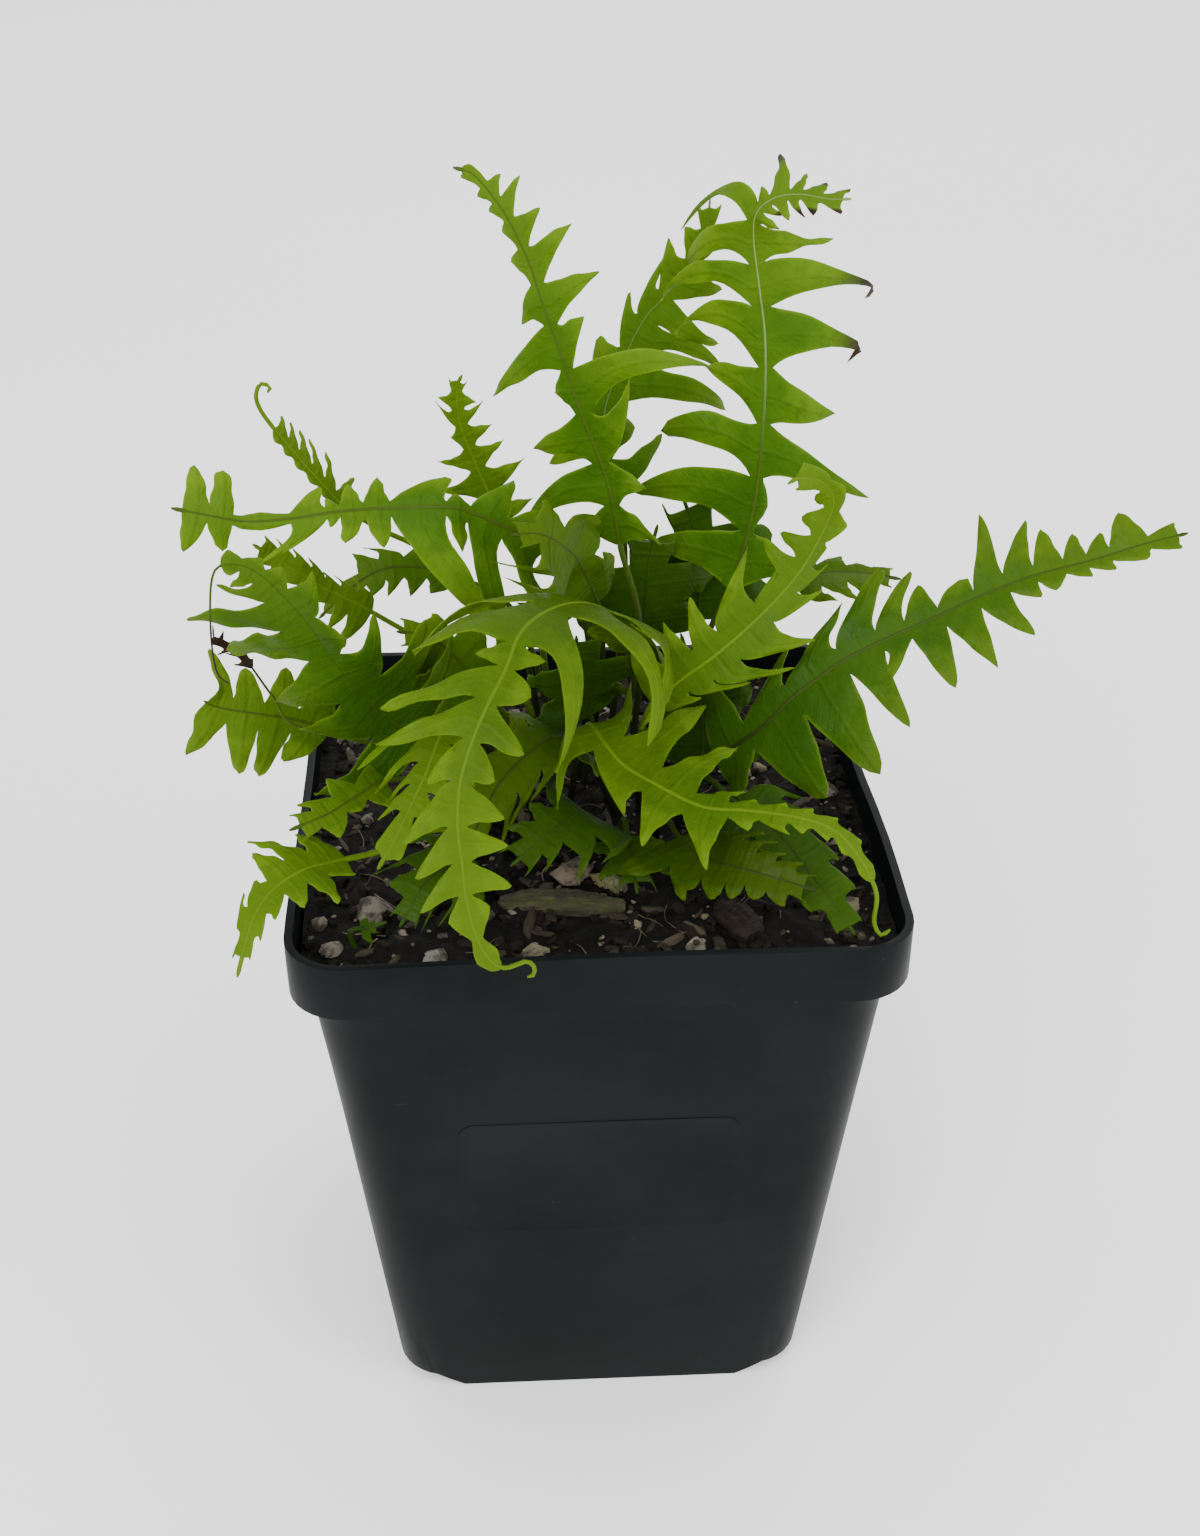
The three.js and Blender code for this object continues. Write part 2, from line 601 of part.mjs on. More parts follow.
    route: [
      [-3, 17, 97], [-11.5, 24, 130], [-24, 27, 138], [-32.5, 26, 140.5], [-38, 25, 139.5],
      [-42.5, 24, 136.5], [-47.5, 23, 132],
    ],
    face: [0, -0.7, 0.8],
    faceEnd: [0, -0.8, 0.6],
    bases: [48.5, 54.5, 59, 63, 67, 71, 76],
    left: [[4, 15], [5, 10], [5, 20], [7, 55], [2, 40], [1.5, 50]],
    right: [[7, 20], [4, -10], [6, 50], [5, 20], [2, 40], [1.5, 50]],
    fold: 0,
    droop: 15,
    web: 0.3,
    waist: 0.8,
    taper: 0.9,
    arch: 0,
  },
  {
    name: 'frond_centre_dark',
    tone: 'shaded',
    route: [[8, 18, 97], [10.5, 24, 117], [11, 22, 132], [11.5, 20, 143], [13, 19, 151]],
    face: [0.1, -0.8, 0.6],
    faceEnd: [0.2, -0.8, 0.5],
    bases: [30, 38, 47, 52],
    left: [[12, 10], [14, 25], [6, 50]],
    right: [[13, -25], [13, -5], [6, 45]],
    fold: 0,
    droop: 15,
    web: 0.55,
    waist: 0.95,
    taper: 0.45,
    arch: 0,
  },
  {
    name: 'frond_centre_broad',
    tone: 'shaded',
    route: [[9, 20, 97], [20, 28, 118.5], [21.5, 28, 133], [20, 27, 146], [18, 26, 153]],
    face: [0, -0.9, 0.5],
    faceEnd: [0, -0.9, 0.4],
    bases: [34, 43, 53, 58],
    left: [[11, 10], [13, 25], [6, 50]],
    right: [[13, 0], [14, 0], [6, 45]],
    fold: 0,
    droop: 15,
    web: 0.6,
    waist: 0.95,
    taper: 0.5,
    arch: 0,
  },
  {
    name: 'frond_centre_left',
    tone: 'mature',
    route: [
      [0, 16, 97], [3, 12, 132], [-0.5, 3, 150], [-3.5, -1, 156.5], [-8, -5, 161.5], [-13, -8, 163],
    ],
    face: [0, -0.6, 0.9],
    faceEnd: [-0.2, -0.7, 0.7],
    bases: [46.5, 59, 67, 73, 76.5],
    left: [[16, 40], [18, 55], [15, 60], [3, 50]],
    right: [[6, 0], [11, -35], [6, 10], [3, 50]],
    fold: 5,
    droop: 20,
    web: 0.4,
    waist: 0.9,
    taper: 0.55,
    arch: 0,
  },
  {
    name: 'frond_dark_front',
    tone: 'shaded',
    route: [[3, -9, 97], [-1, -22, 117.5], [-6, -29, 120.5], [-10.5, -34, 120], [-14.5, -37, 118]],
    face: [0.3, 0.3, 1],
    faceEnd: [0, -0.6, 1],
    bases: [24.5, 32, 37.5, 41.5, 44.5],
    left: [[20, 50], [13, 40], [6, 45], [4, 50]],
    right: [[11, -20], [6, 0], [6, 25], [4, 50]],
    fold: 5,
    droop: 10,
    web: 0.4,
    waist: 0.9,
    taper: 0.6,
    arch: 0,
  },
  {
    name: 'frond_dark_middle',
    tone: 'shaded',
    route: [[4, -11, 97], [5, -15, 111.5], [5.5, -20, 112], [6, -26, 111], [6.5, -31, 107.5]],
    face: [0, 0.4, 1],
    faceEnd: [0, -0.6, 1],
    bases: [21.5, 26, 29.5, 31],
    left: [[6, 10], [6, 25], [4, 45]],
    right: [[6, 0], [6, 20], [4, 45]],
    fold: 5,
    droop: 10,
    web: 0.4,
    waist: 0.95,
    taper: 0.5,
    arch: 0,
  },
  {
    name: 'frond_sprout',
    tone: 'shaded',
    route: [[-38.5, -38, 97], [-41, -38, 105.5], [-40.5, -38, 107], [-38, -37.5, 107], [-35, -37.5, 108]],
    face: [-1, -0.3, 0.7],
    faceEnd: [0, -0.6, 1],
    bases: [12, 13.5, 14.5],
    left: [[1.5, 20], [1, 50]],
    right: [[2.5, 20], [1.5, 50]],
    fold: 0,
    droop: 0,
    web: 0.3,
    waist: 1,
    taper: 0.5,
    arch: 0,
  },
  {
    name: 'frond_under_arch',
    tone: 'mature',
    route: [
      [-4, 3, 97], [-2.5, -3, 118.5], [-4.5, -8, 124.5], [-7, -13, 127.5], [-11.5, -18, 127],
      [-16, -21, 123.5], [-19, -23.5, 119], [-21, -25, 115],
    ],
    face: [0.5, 0.5, 1],
    faceEnd: [0, -0.7, 0.8],
    bases: [30.5, 38, 44, 49.5, 55, 59.5],
    left: [[10, 10], [11, 55], [11, 55], [9, 55], [3, 50]],
    right: [[10, 0], [8, -20], [5, 15], [8, 5], [3, 50]],
    fold: 0,
    droop: 20,
    web: 0.3,
    waist: 0.92,
    taper: 0.6,
    arch: 0,
  },
  {
    name: 'frond_left_behind',
    tone: 'mature',
    route: [
      [-4, 8, 97], [-14, 3, 121.5], [-19.5, -2, 132.5], [-23.5, -6, 140.5], [-27.5, -9, 145.5],
      [-32, -12, 148],
    ],
    face: [0, -0.6, 0.9],
    faceEnd: [-0.2, -0.8, 0.6],
    bases: [34.5, 43.5, 51.5, 58, 61.5],
    left: [[9, 10], [9, 5], [10, 30], [3, 50]],
    right: [[10, 5], [10, 40], [4, 25], [3, 50]],
    fold: 0,
    droop: 20,
    web: 0.4,
    waist: 0.95,
    taper: 0.5,
    arch: 0,
  },
  {
    name: 'frond_middle_dark',
    tone: 'shaded',
    route: [[-2, 9, 97], [1, 9, 114.5], [-0.5, 8, 122.5], [-1.5, 6, 130.5], [-2, 4, 137.5]],
    face: [0, -0.5, 1],
    faceEnd: [0, -0.8, 0.6],
    bases: [22, 28, 34.5, 40],
    left: [[10, 0], [9, 10], [6, 50]],
    right: [[8, -15], [13, -10], [6, 45]],
    fold: 0,
    droop: 15,
    web: 0.5,
    waist: 0.95,
    taper: 0.5,
    arch: 0,
  },
  {
    name: 'frond_right_dark',
    tone: 'shaded',
    route: [[18, 1, 97], [20, 2, 112], [20, 3, 122], [18, 3, 131], [16, 3, 138]],
    face: [-0.1, -0.8, 0.6],
    faceEnd: [0, -0.9, 0.3],
    bases: [15, 23, 32, 38],
    left: [[10, 10], [9, 20], [6, 45]],
    right: [[10, -10], [9, 0], [5, 45]],
    fold: 5,
    droop: 15,
    web: 0.5,
    waist: 0.95,
    taper: 0.5,
    arch: 0,
  },
];

// Solids and meshes
function solidFrom(geometry) {
  const bare = geometry.index ? geometry.toNonIndexed() : geometry.clone();
  bare.deleteAttribute('normal');
  bare.deleteAttribute('uv');
  const merged = mergeVertices(bare, 1e-4);
  return new wasm.Manifold(
    new wasm.Mesh({
      numProp: 3,
      vertProperties: new Float32Array(merged.attributes.position.array),
      triVerts: new Uint32Array(merged.index.array),
    }),
  );
}

function geometryFrom(solid) {
  const mesh = solid.getMesh();
  const stride = mesh.numProp;
  const points = new Float32Array(mesh.numVert * 3);
  for (let i = 0; i < mesh.numVert; i++) {
    points.set(mesh.vertProperties.subarray(i * stride, i * stride + 3), i * 3);
  }
  const geometry = new THREE.BufferGeometry();
  geometry.setAttribute('position', new THREE.BufferAttribute(points, 3));
  geometry.setIndex(new THREE.BufferAttribute(new Uint32Array(mesh.triVerts), 1));
  geometry.computeVertexNormals();
  return geometry;
}

function indexedGeometry(vertices, faces) {
  const geometry = new THREE.BufferGeometry();
  const flat = vertices.flatMap((v) => [v.x, v.y, v.z]);
  geometry.setAttribute('position', new THREE.Float32BufferAttribute(flat, 3));
  geometry.setIndex(faces.flat());
  return geometry;
}

// A stack of rounded squares, closed at both ends. Each level is [width, corner radius, height].
function squareLoft(levels, cornerSteps = 4) {
  const ring = 4 * (cornerSteps + 1);
  const vertices = [];
  for (const [width, radius, z] of levels) {
    const inset = width / 2 - radius;
    for (let corner = 0; corner < 4; corner++) {
      const start = (corner * Math.PI) / 2;
      const cx = inset * Math.sign(Math.cos(start + Math.PI / 4));
      const cy = inset * Math.sign(Math.sin(start + Math.PI / 4));
      for (let step = 0; step <= cornerSteps; step++) {
        const angle = start + (step / cornerSteps) * (Math.PI / 2);
        vertices.push(new THREE.Vector3(cx + radius * Math.cos(angle), cy + radius * Math.sin(angle), z));
      }
    }
  }
  const faces = [];
  for (let level = 0; level + 1 < levels.length; level++) {
    for (let i = 0; i < ring; i++) {
      const a = level * ring + i;
      const b = level * ring + ((i + 1) % ring);
      faces.push([a, b, b + ring], [a, b + ring, a + ring]);
    }
  }
  const last = (levels.length - 1) * ring;
  for (let i = 1; i + 1 < ring; i++) {
    faces.push([0, i + 1, i], [last, last + i, last + i + 1]);
  }
  return solidFrom(indexedGeometry(vertices, faces));
}

// The pot: one thin shell with a stepped-out band, raised corners below and a drain hole in each
const bandFoot = potHeight - bandHeight;
const upperWall = potWidth - bandFlare - 2 * ledge;

// The space under the four raised corners, moved up and inwards by grow for the inside of the shell
function cornerSpace(grow) {
  const low = -overlap;
  const far = potWidth;
  const ramp = new THREE.Shape();
  ramp.moveTo(liftStart - liftSlope - grow, low);
  ramp.lineTo(far, low);
  ramp.lineTo(far, cornerLift + grow);
  ramp.lineTo(liftStart - grow, cornerLift + grow);
  ramp.lineTo(liftStart - liftSlope - grow, grow);
  const bar = new THREE.ExtrudeGeometry(ramp, { depth: 2 * far, bevelEnabled: false });
  bar.rotateX(Math.PI / 2);
  bar.translate(0, far, 0);
  const right = solidFrom(bar);
  const sides = right.add(right.mirror([1, 0, 0]));
  return sides.intersect(sides.rotate([0, 0, 90]));
}

function cavity(inset, top) {
  const side = 2 * (wall + inset);
  const radius = (r) => Math.max(r - wall - inset, 1);
  const upper = [
    [footWidth - side + footSlack, radius(footCorner), floorThickness + inset],
    [upperWall - side, radius(topCorner), bandFoot + wall + inset],
    [potWidth - bandFlare - side, radius(topCorner), bandFoot + wall + inset + bandStep],
    [potWidth - side, radius(topCorner), top],
  ];
  return squareLoft(upper).subtract(cornerSpace(floorThickness + inset));
}

// What a drain hole cuts away, from below the pot to above its floor
function drainHole(x, y) {
  const height = 2 * (cornerLift + floorThickness + overlap);
  const geometry = new THREE.CylinderGeometry(drainRadius, drainRadius, height, drainSides);
  geometry.rotateX(Math.PI / 2);
  geometry.translate(x, y, 0);
  return solidFrom(geometry);
}

function potShell() {
  const outside = squareLoft([
    [footWidth, footCorner, 0],
    [upperWall, topCorner - ledge / 3, bandFoot],
    [potWidth - bandFlare, topCorner, bandFoot + bandStep],
    [potWidth, topCorner, potHeight],
  ]);
  let shell = outside.subtract(cornerSpace(0)).subtract(cavity(0, potHeight + overlap));
  for (const sx of [-1, 1]) {
    for (const sy of [-1, 1]) {
      shell = shell.subtract(drainHole(sx * drainOffset, sy * drainOffset));
    }
  }
  return shell;
}

// Fronds: a rib along the route, with a row of lobes on either side of it
// Where the rib is at a distance along it, and which ways are forward, up from the blade and to the right
function ribOf(plan) {
  const points = plan.route.map(([x, y, z]) => new THREE.Vector3(x, y, z));
  const curve = new THREE.CatmullRomCurve3(points, false, 'catmullrom', 0.5);
  const length = curve.getLength();
  const face = new THREE.Vector3(...plan.face);
  const faceEnd = new THREE.Vector3(...plan.faceEnd);
  const at = (distance) => {
    const u = Math.min(Math.max(distance / length, 0), 1);
    const forward = curve.getTangentAt(u);
    const beyond = distance - u * length;
    const place = curve.getPointAt(u).addScaledVector(forward, beyond);
    const up = face.clone().lerp(faceEnd, u);
    up.addScaledVector(forward, -up.dot(forward)).normalize();
    const right = forward.clone().cross(up);
    return { place, forward, up, right };
  };
  return { at, length };
}

function frondGeometry(plan) {
  const { at, length } = ribOf(plan);
  const { bases } = plan;
  const last = bases.length - 1;
  const vertices = [];
  const faces = [];
  const push = (v) => vertices.push(v) - 1;
  const quad = (a, b, c, d) => faces.push([a, c, b], [a, d, c]);
  const radiusAt = (along) => {
    const share = Math.min(Math.max(along / length, 0), 1);
    return stalkRadius + (tipRadius - stalkRadius) * share ** ribTaper;
  };
  const half = bladeThickness / 2;

  // A point of the blade: frameAt is the place along the rib whose directions it follows, side is 1
  // for right and -1 for left, onward and out are its distances from there along the rib and across
  // the blade, face is 1 for the upper surface and -1 for the lower one, and bend is how far the
  // blade has curved down, in radians, at a distance reach from the rib.
  const bladePoint = (frameAt, side, onward, out, face, bend = 0, reach = 1) => {
    const { place, forward, up, right } = at(frameAt);
    const start = THREE.MathUtils.degToRad(plan.fold);
    const turn = bend / Math.max(reach, 1);
    const angle = start - turn * out;
    const straight = Math.abs(turn) < 1e-5;
    const across = straight ? out * Math.cos(start) : (Math.sin(start) - Math.sin(angle)) / turn;
    const lift = straight ? out * Math.sin(start) : (Math.cos(angle) - Math.cos(start)) / turn;
    return place
      .clone()
      .addScaledVector(forward, onward)
      .addScaledVector(right, side * (across - face * half * Math.sin(angle)))
      .addScaledVector(up, lift + face * half * Math.cos(angle));
  };

  // The rib's six-sided section: crest, keel, and the upper and lower edge on either side
  const section = (along) => {
    const { place, up } = at(along);
    const radius = radiusAt(along);
    const crest = push(place.clone().addScaledVector(up, Math.max(radius * ribCrest, half + leastCrest)));
    const keel = push(place.clone().addScaledVector(up, -Math.max(radius, half + leastKeel)));
    const edges = {};
    for (const side of [1, -1]) {
      edges[side] = [1, -1].map((face) => push(bladePoint(along, side, 0, radius, face)));
    }
    return { along, crest, keel, edges };
  };

  const stations = [];
  const stalkSteps = Math.max(2, Math.round(bases[0] / stalkGap));
  for (let i = 0; i < stalkSteps; i++) {
    stations.push({ lobe: -1, ...section((i / stalkSteps) * bases[0]) });
  }
  for (let i = 0; i < last; i++) {
    const span = bases[i + 1] - bases[i];
    stations.push({ lobe: i, ...section(bases[i]) });
    if (span > stationGap) stations.push({ lobe: i, ...section(bases[i] + span / 2) });
  }
  stations.push({ lobe: last, ...section(bases[last]) });
  const tendrilSteps = Math.round((length - bases[last]) / tendrilGap);
  for (let i = 1; i <= tendrilSteps; i++) {
    stations.push({ lobe: last, ...section(bases[last] + (i / tendrilSteps) * (length - bases[last])) });
  }

  // The rib's skin, open along both edges where the blade joins
  const bare = (station) => station.lobe < 0 || station.lobe === last;
  for (let i = 0; i + 1 < stations.length; i++) {
    const a = stations[i];
    const b = stations[i + 1];
    for (const side of [1, -1]) {
      const [aTop, aLow] = a.edges[side];
      const [bTop, bLow] = b.edges[side];
      if (side === 1) {
        quad(a.crest, b.crest, bTop, aTop);
        quad(a.keel, aLow, bLow, b.keel);
        if (bare(a)) quad(aTop, bTop, bLow, aLow);
      } else {
        quad(a.crest, aTop, bTop, b.crest);
        quad(a.keel, b.keel, bLow, aLow);
        if (bare(a)) quad(aTop, aLow, bLow, bTop);
      }
    }
  }
  const cap = (s, flip) => {
    const ring = [s.crest, s.edges[1][0], s.edges[1][1], s.keel, s.edges[-1][1], s.edges[-1][0]];
    for (let i = 1; i + 1 < ring.length; i++) {
      faces.push(flip ? [ring[0], ring[i + 1], ring[i]] : [ring[0], ring[i], ring[i + 1]]);
    }
  };
  cap(stations[0], true);
  cap(stations.at(-1), false);

  // The lobes
  for (const side of [1, -1]) {
    const lobes = side === 1 ? plan.right : plan.left;
    const wingAt = (i) => radiusAt(bases[i]) + leastWing + plan.web * lobes[i][0];
    const sinus = bases.map((along, i) => {
      if (i === 0 || i === last) {
        return stations.find((s) => s.lobe === i && s.along === along).edges[side];
      }
      const out = notchShare * Math.min(wingAt(i - 1), wingAt(i)) + notchMargin;
      return [1, -1].map((face) => push(bladePoint(along, side, 0, out, face)));
    });
    lobes.forEach((lobe, i) => {
      const [size, lean, droop = plan.droop, arch = plan.arch, waist = plan.waist, taper = plan.taper] = lobe;
      const middle = (bases[i] + bases[i + 1]) / 2;
      const halfBase = (bases[i + 1] - bases[i]) / 2;
      const leaning = THREE.MathUtils.degToRad(lean);
      const reach = size * Math.cos(leaning) + radiusAt(middle);
      const onward = size * Math.sin(leaning);
      const wing = Math.min(wingAt(i), mostWing * reach);
      const bend = THREE.MathUtils.degToRad(droop);
      const point = (share, edge) => {
        const out = wing + (reach - wing) * share;
        const away = edge * halfBase * waist * (1 - share) ** taper;
        const follow = 1 - Math.min(share * 2, 1);
        const frameAt = middle + away * follow;
        const bulge = arch * size * 4 * share * (1 - share);
        const ahead = onward * share ** leanPower + bulge + away * (1 - follow);
        const pointOn = (face) => push(bladePoint(frameAt, side, ahead, out, face, bend * share, reach));
        return [1, -1].map(pointOn);
      };
      const shares = size < longLobe ? shortShoulders : longShoulders;
      const near = shares.map((s) => point(s, -1));
      const far = shares.map((s) => point(s, 1));
      const tip = point(1, 0);
      const beside = stations.filter((s) => s.along >= bases[i] && s.along <= bases[i + 1]);
      const ribs = beside.map((s) => s.edges[side]);
      // Both surfaces are split alike
      for (const face of [0, 1]) {
        const flip = (side === 1) === (face === 0);
        const tri = (a, b, c) => faces.push(flip ? [a, c, b] : [a, b, c]);
        const base = ribs.map((r) => r[face]);
        if (i > 0) tri(base[0], near[0][face], sinus[i][face]);
        if (base.length > 2) {
          tri(base[0], base[1], near[0][face]);
          tri(base[1], far[0][face], near[0][face]);
          tri(base[1], base[2], far[0][face]);
        } else {
          tri(base[0], far[0][face], near[0][face]);
          tri(base[0], base[1], far[0][face]);
        }
        if (i + 1 < last) tri(base.at(-1), sinus[i + 1][face], far[0][face]);
        for (let k = 0; k + 1 < near.length; k++) {
          tri(near[k][face], far[k][face], far[k + 1][face]);
          tri(near[k][face], far[k + 1][face], near[k + 1][face]);
        }
        tri(near.at(-1)[face], far.at(-1)[face], tip[face]);
      }
      const outline = [sinus[i], ...near, tip, ...far.toReversed(), sinus[i + 1]];
      for (let k = 0; k + 1 < outline.length; k++) {
        const [aTop, aLow] = outline[k];
        const [bTop, bLow] = outline[k + 1];
        if (side === 1) quad(aTop, bTop, bLow, aLow);
        else quad(aTop, aLow, bLow, bTop);
      }
    });
  }
  return indexedGeometry(vertices, faces);
}

// What fills the pot: soil with a lumpy top, and the stones and bark bedded in it
function groundHeight(x, y) {
  const [a, b, c, d] = shortLumps;
  const long = Math.sin(x / longLumps[0] + 1) * Math.cos(y / longLumps[1] - 0.5);
  const short = Math.sin(x / a + y / b) * Math.cos(y / c - x / d);
  return soilTop + soilRelief * (longShare * long + (1 - longShare) * short);
}

function groundBlock() {
  const vertices = [];
  const faces = [];
  const step = potWidth / soilCells;
  const row = soilCells + 1;
  for (const level of [0, 1]) {
    for (let i = 0; i <= soilCells; i++) {
      for (let j = 0; j <= soilCells; j++) {
        const x = i * step - potWidth / 2;
        const y = j * step - potWidth / 2;
        vertices.push(new THREE.Vector3(x, y, level ? groundHeight(x, y) : floorThickness));
      }
    }
  }
  const at = (i, j, level) => level * row * row + i * row + j;
  const square = (a, b, c, d) => faces.push([a, b, c], [a, c, d]);
  for (let i = 0; i < soilCells; i++) {
    for (let j = 0; j < soilCells; j++) {
      square(at(i, j, 1), at(i + 1, j, 1), at(i + 1, j + 1, 1), at(i, j + 1, 1));
      square(at(i, j, 0), at(i, j + 1, 0), at(i + 1, j + 1, 0), at(i + 1, j, 0));
    }
  }
  for (let k = 0; k < soilCells; k++) {
    square(at(k, 0, 0), at(k + 1, 0, 0), at(k + 1, 0, 1), at(k, 0, 1));
    square(at(k + 1, soilCells, 0), at(k, soilCells, 0), at(k, soilCells, 1), at(k + 1, soilCells, 1));
    square(at(0, k + 1, 0), at(0, k, 0), at(0, k, 1), at(0, k + 1, 1));
    square(at(soilCells, k, 0), at(soilCells, k + 1, 0), at(soilCells, k + 1, 1), at(soilCells, k, 1));
  }
  return solidFrom(indexedGeometry(vertices, faces));
}

// The hole a stalk stands in: straight lengths along the rib, wider than it by the clearance
function stalkHole(plan) {
  const { at, length } = ribOf(plan);
  const radius = (stalkRadius + clearance) / Math.cos(Math.PI / holeSides);
  const ringAt = (along) => {
    const { place, up, right } = at(along);
    return Array.from({ length: holeSides }, (_, k) => {
      const angle = (k / holeSides) * 2 * Math.PI;
      const p = place.clone().addScaledVector(up, radius * Math.sin(angle));
      p.addScaledVector(right, radius * Math.cos(angle));
      return [p.x, p.y, p.z];
    });
  };
  let along = -clearance;
  let hole;
  while (along < length && at(along).place.z < soilTop + 2 * soilRelief) {
    const piece = wasm.Manifold.hull([...ringAt(along), ...ringAt(along + holeStep)]);
    hole = hole ? hole.add(piece) : piece;
    along += holeStep;
  }
  return hole;
}

// A lump with slightly uneven faces; grow widens it all round, for the pocket it lies in
function stoneSolid({ at, size, turn }, grow) {
  const geometry = new THREE.IcosahedronGeometry(1, 1);
  const place = geometry.attributes.position;
  for (let i = 0; i < place.count; i++) {
    const p = new THREE.Vector3().fromBufferAttribute(place, i);
    p.multiplyScalar(1 + stoneUnevenness * Math.sin(5 * p.x + 3 * p.y + turn) * Math.cos(4 * p.z));
    place.setXYZ(i, p.x, p.y, p.z);
  }
  geometry.scale(size[0] / 2 + grow, size[1] / 2 + grow, size[2] / 2 + grow);
  geometry.rotateZ(THREE.MathUtils.degToRad(turn));
  geometry.translate(at[0], at[1], groundHeight(...at) + size[2] * stoneShowing);
  return solidFrom(geometry);
}

// A flat piece of bark with a broken outline, lying on the soil and arched along its length
function barkSolid({ at, size, turn, edge }, grow) {
  const [length, width, thickness] = size;
  const vertices = [];
  const faces = [];
  const rows = edge.length;
  edge.forEach((share, i) => {
    const x = (i / (rows - 1) - 0.5) * (length + 2 * grow);
    const arch = barkArch * (1 - (2 * x / length) ** 2);
    for (const side of [-1, 1]) {
      for (const top of [0, 1]) {
        const inward = top ? barkBevel : 0;
        const y = side * (share * (width / 2 - inward) + grow);
        vertices.push(new THREE.Vector3(x, y, arch + (top ? thickness / 2 + grow : -thickness / 2 - grow)));
      }
    }
  });
  const corner = (i, side, top) => i * 4 + side * 2 + top;
  const quad = (a, b, c, d) => faces.push([a, b, c], [a, c, d]);
  for (let i = 0; i + 1 < rows; i++) {
    quad(corner(i, 0, 1), corner(i + 1, 0, 1), corner(i + 1, 1, 1), corner(i, 1, 1));
    quad(corner(i, 1, 0), corner(i + 1, 1, 0), corner(i + 1, 0, 0), corner(i, 0, 0));
    quad(corner(i, 0, 0), corner(i + 1, 0, 0), corner(i + 1, 0, 1), corner(i, 0, 1));
    quad(corner(i + 1, 1, 0), corner(i, 1, 0), corner(i, 1, 1), corner(i + 1, 1, 1));
  }
  quad(corner(0, 0, 0), corner(0, 0, 1), corner(0, 1, 1), corner(0, 1, 0));
  quad(corner(rows - 1, 1, 0), corner(rows - 1, 1, 1), corner(rows - 1, 0, 1), corner(rows - 1, 0, 0));
  const geometry = indexedGeometry(vertices, faces);
  geometry.rotateZ(THREE.MathUtils.degToRad(turn));
  geometry.translate(at[0], at[1], groundHeight(...at) + thickness * barkShowing);
  return solidFrom(geometry);
}

function soilSolid() {
  let soil = groundBlock().intersect(cavity(clearance, potHeight));
  for (const plan of fronds) soil = soil.subtract(stalkHole(plan));
  for (const stone of stones) soil = soil.subtract(stoneSolid(stone, clearance));
  for (const bark of barks) soil = soil.subtract(barkSolid(bark, clearance));
  return soil;
}

// Assembly
const fern = new THREE.Group();
const place = (name, geometry, material) => {
  const mesh = new THREE.Mesh(geometry, material);
  mesh.name = name;
  fern.add(mesh);
};

place('pot', geometryFrom(potShell()), materials.pot);
place('soil', geometryFrom(soilSolid()), materials.soil);
stones.forEach((stone) => place(stone.name, geometryFrom(stoneSolid(stone, 0)), materials.perlite));
barks.forEach((bark) => place(bark.name, geometryFrom(barkSolid(bark, 0)), materials[bark.tone]));
fronds.forEach((plan) => place(plan.name, frondGeometry(plan), materials[plan.tone]));

export default fern;
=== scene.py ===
import math
import random
from bisect import bisect_right

import bmesh
import bpy
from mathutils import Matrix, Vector, noise


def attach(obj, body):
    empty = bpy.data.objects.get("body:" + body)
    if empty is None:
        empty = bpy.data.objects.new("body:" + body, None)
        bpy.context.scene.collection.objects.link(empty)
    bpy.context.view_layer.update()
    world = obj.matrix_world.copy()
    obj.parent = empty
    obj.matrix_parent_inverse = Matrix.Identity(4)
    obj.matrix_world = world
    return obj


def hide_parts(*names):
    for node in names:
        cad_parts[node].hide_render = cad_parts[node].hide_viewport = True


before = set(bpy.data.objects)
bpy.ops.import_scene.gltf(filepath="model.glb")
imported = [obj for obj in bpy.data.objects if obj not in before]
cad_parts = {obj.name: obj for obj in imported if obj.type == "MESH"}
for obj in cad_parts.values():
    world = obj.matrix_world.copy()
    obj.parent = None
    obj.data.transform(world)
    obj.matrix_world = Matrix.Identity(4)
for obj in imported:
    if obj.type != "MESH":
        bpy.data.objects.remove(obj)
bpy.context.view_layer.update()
print("the packed model is loaded")

mm = 0.001


def clamp(value, low=0, high=1):
    return min(max(value, low), high)


def deselectAll():
    if bpy.context.object and bpy.context.object.mode != "OBJECT":
        bpy.ops.object.mode_set(mode="OBJECT")
    bpy.ops.object.select_all(action="DESELECT")


def activate(piece):
    deselectAll()
    piece.select_set(True)
    bpy.context.view_layer.objects.active = piece


def applyAll(piece):
    activate(piece)
    for modifier in list(piece.modifiers):
        bpy.ops.object.modifier_apply(modifier=modifier.name)


def placeInMesh(piece):
    activate(piece)
    bpy.ops.object.transform_apply(location=True, rotation=True, scale=True)


def joinAll(pieces):
    deselectAll()
    for piece in pieces:
        piece.select_set(True)
    bpy.context.view_layer.objects.active = pieces[0]
    bpy.ops.object.join()
    return pieces[0]


def smooth(piece, degrees=35):
    activate(piece)
    bpy.ops.object.shade_smooth_by_angle(angle=math.radians(degrees))


def finishPiece(piece, name, material, stands=()):
    piece.name = name
    piece.data.materials.clear()
    piece.data.materials.append(material)
    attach(piece, "root")
    if stands:
        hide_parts(*stands)


def openMesh(piece):
    # the mesh of the active piece, open in edit mode
    if piece.mode != "EDIT":
        bpy.ops.object.mode_set(mode="EDIT")
    return bmesh.from_edit_mesh(piece.data)


def closeMesh(piece):
    bmesh.update_edit_mesh(piece.data)
    bpy.ops.object.mode_set(mode="OBJECT")


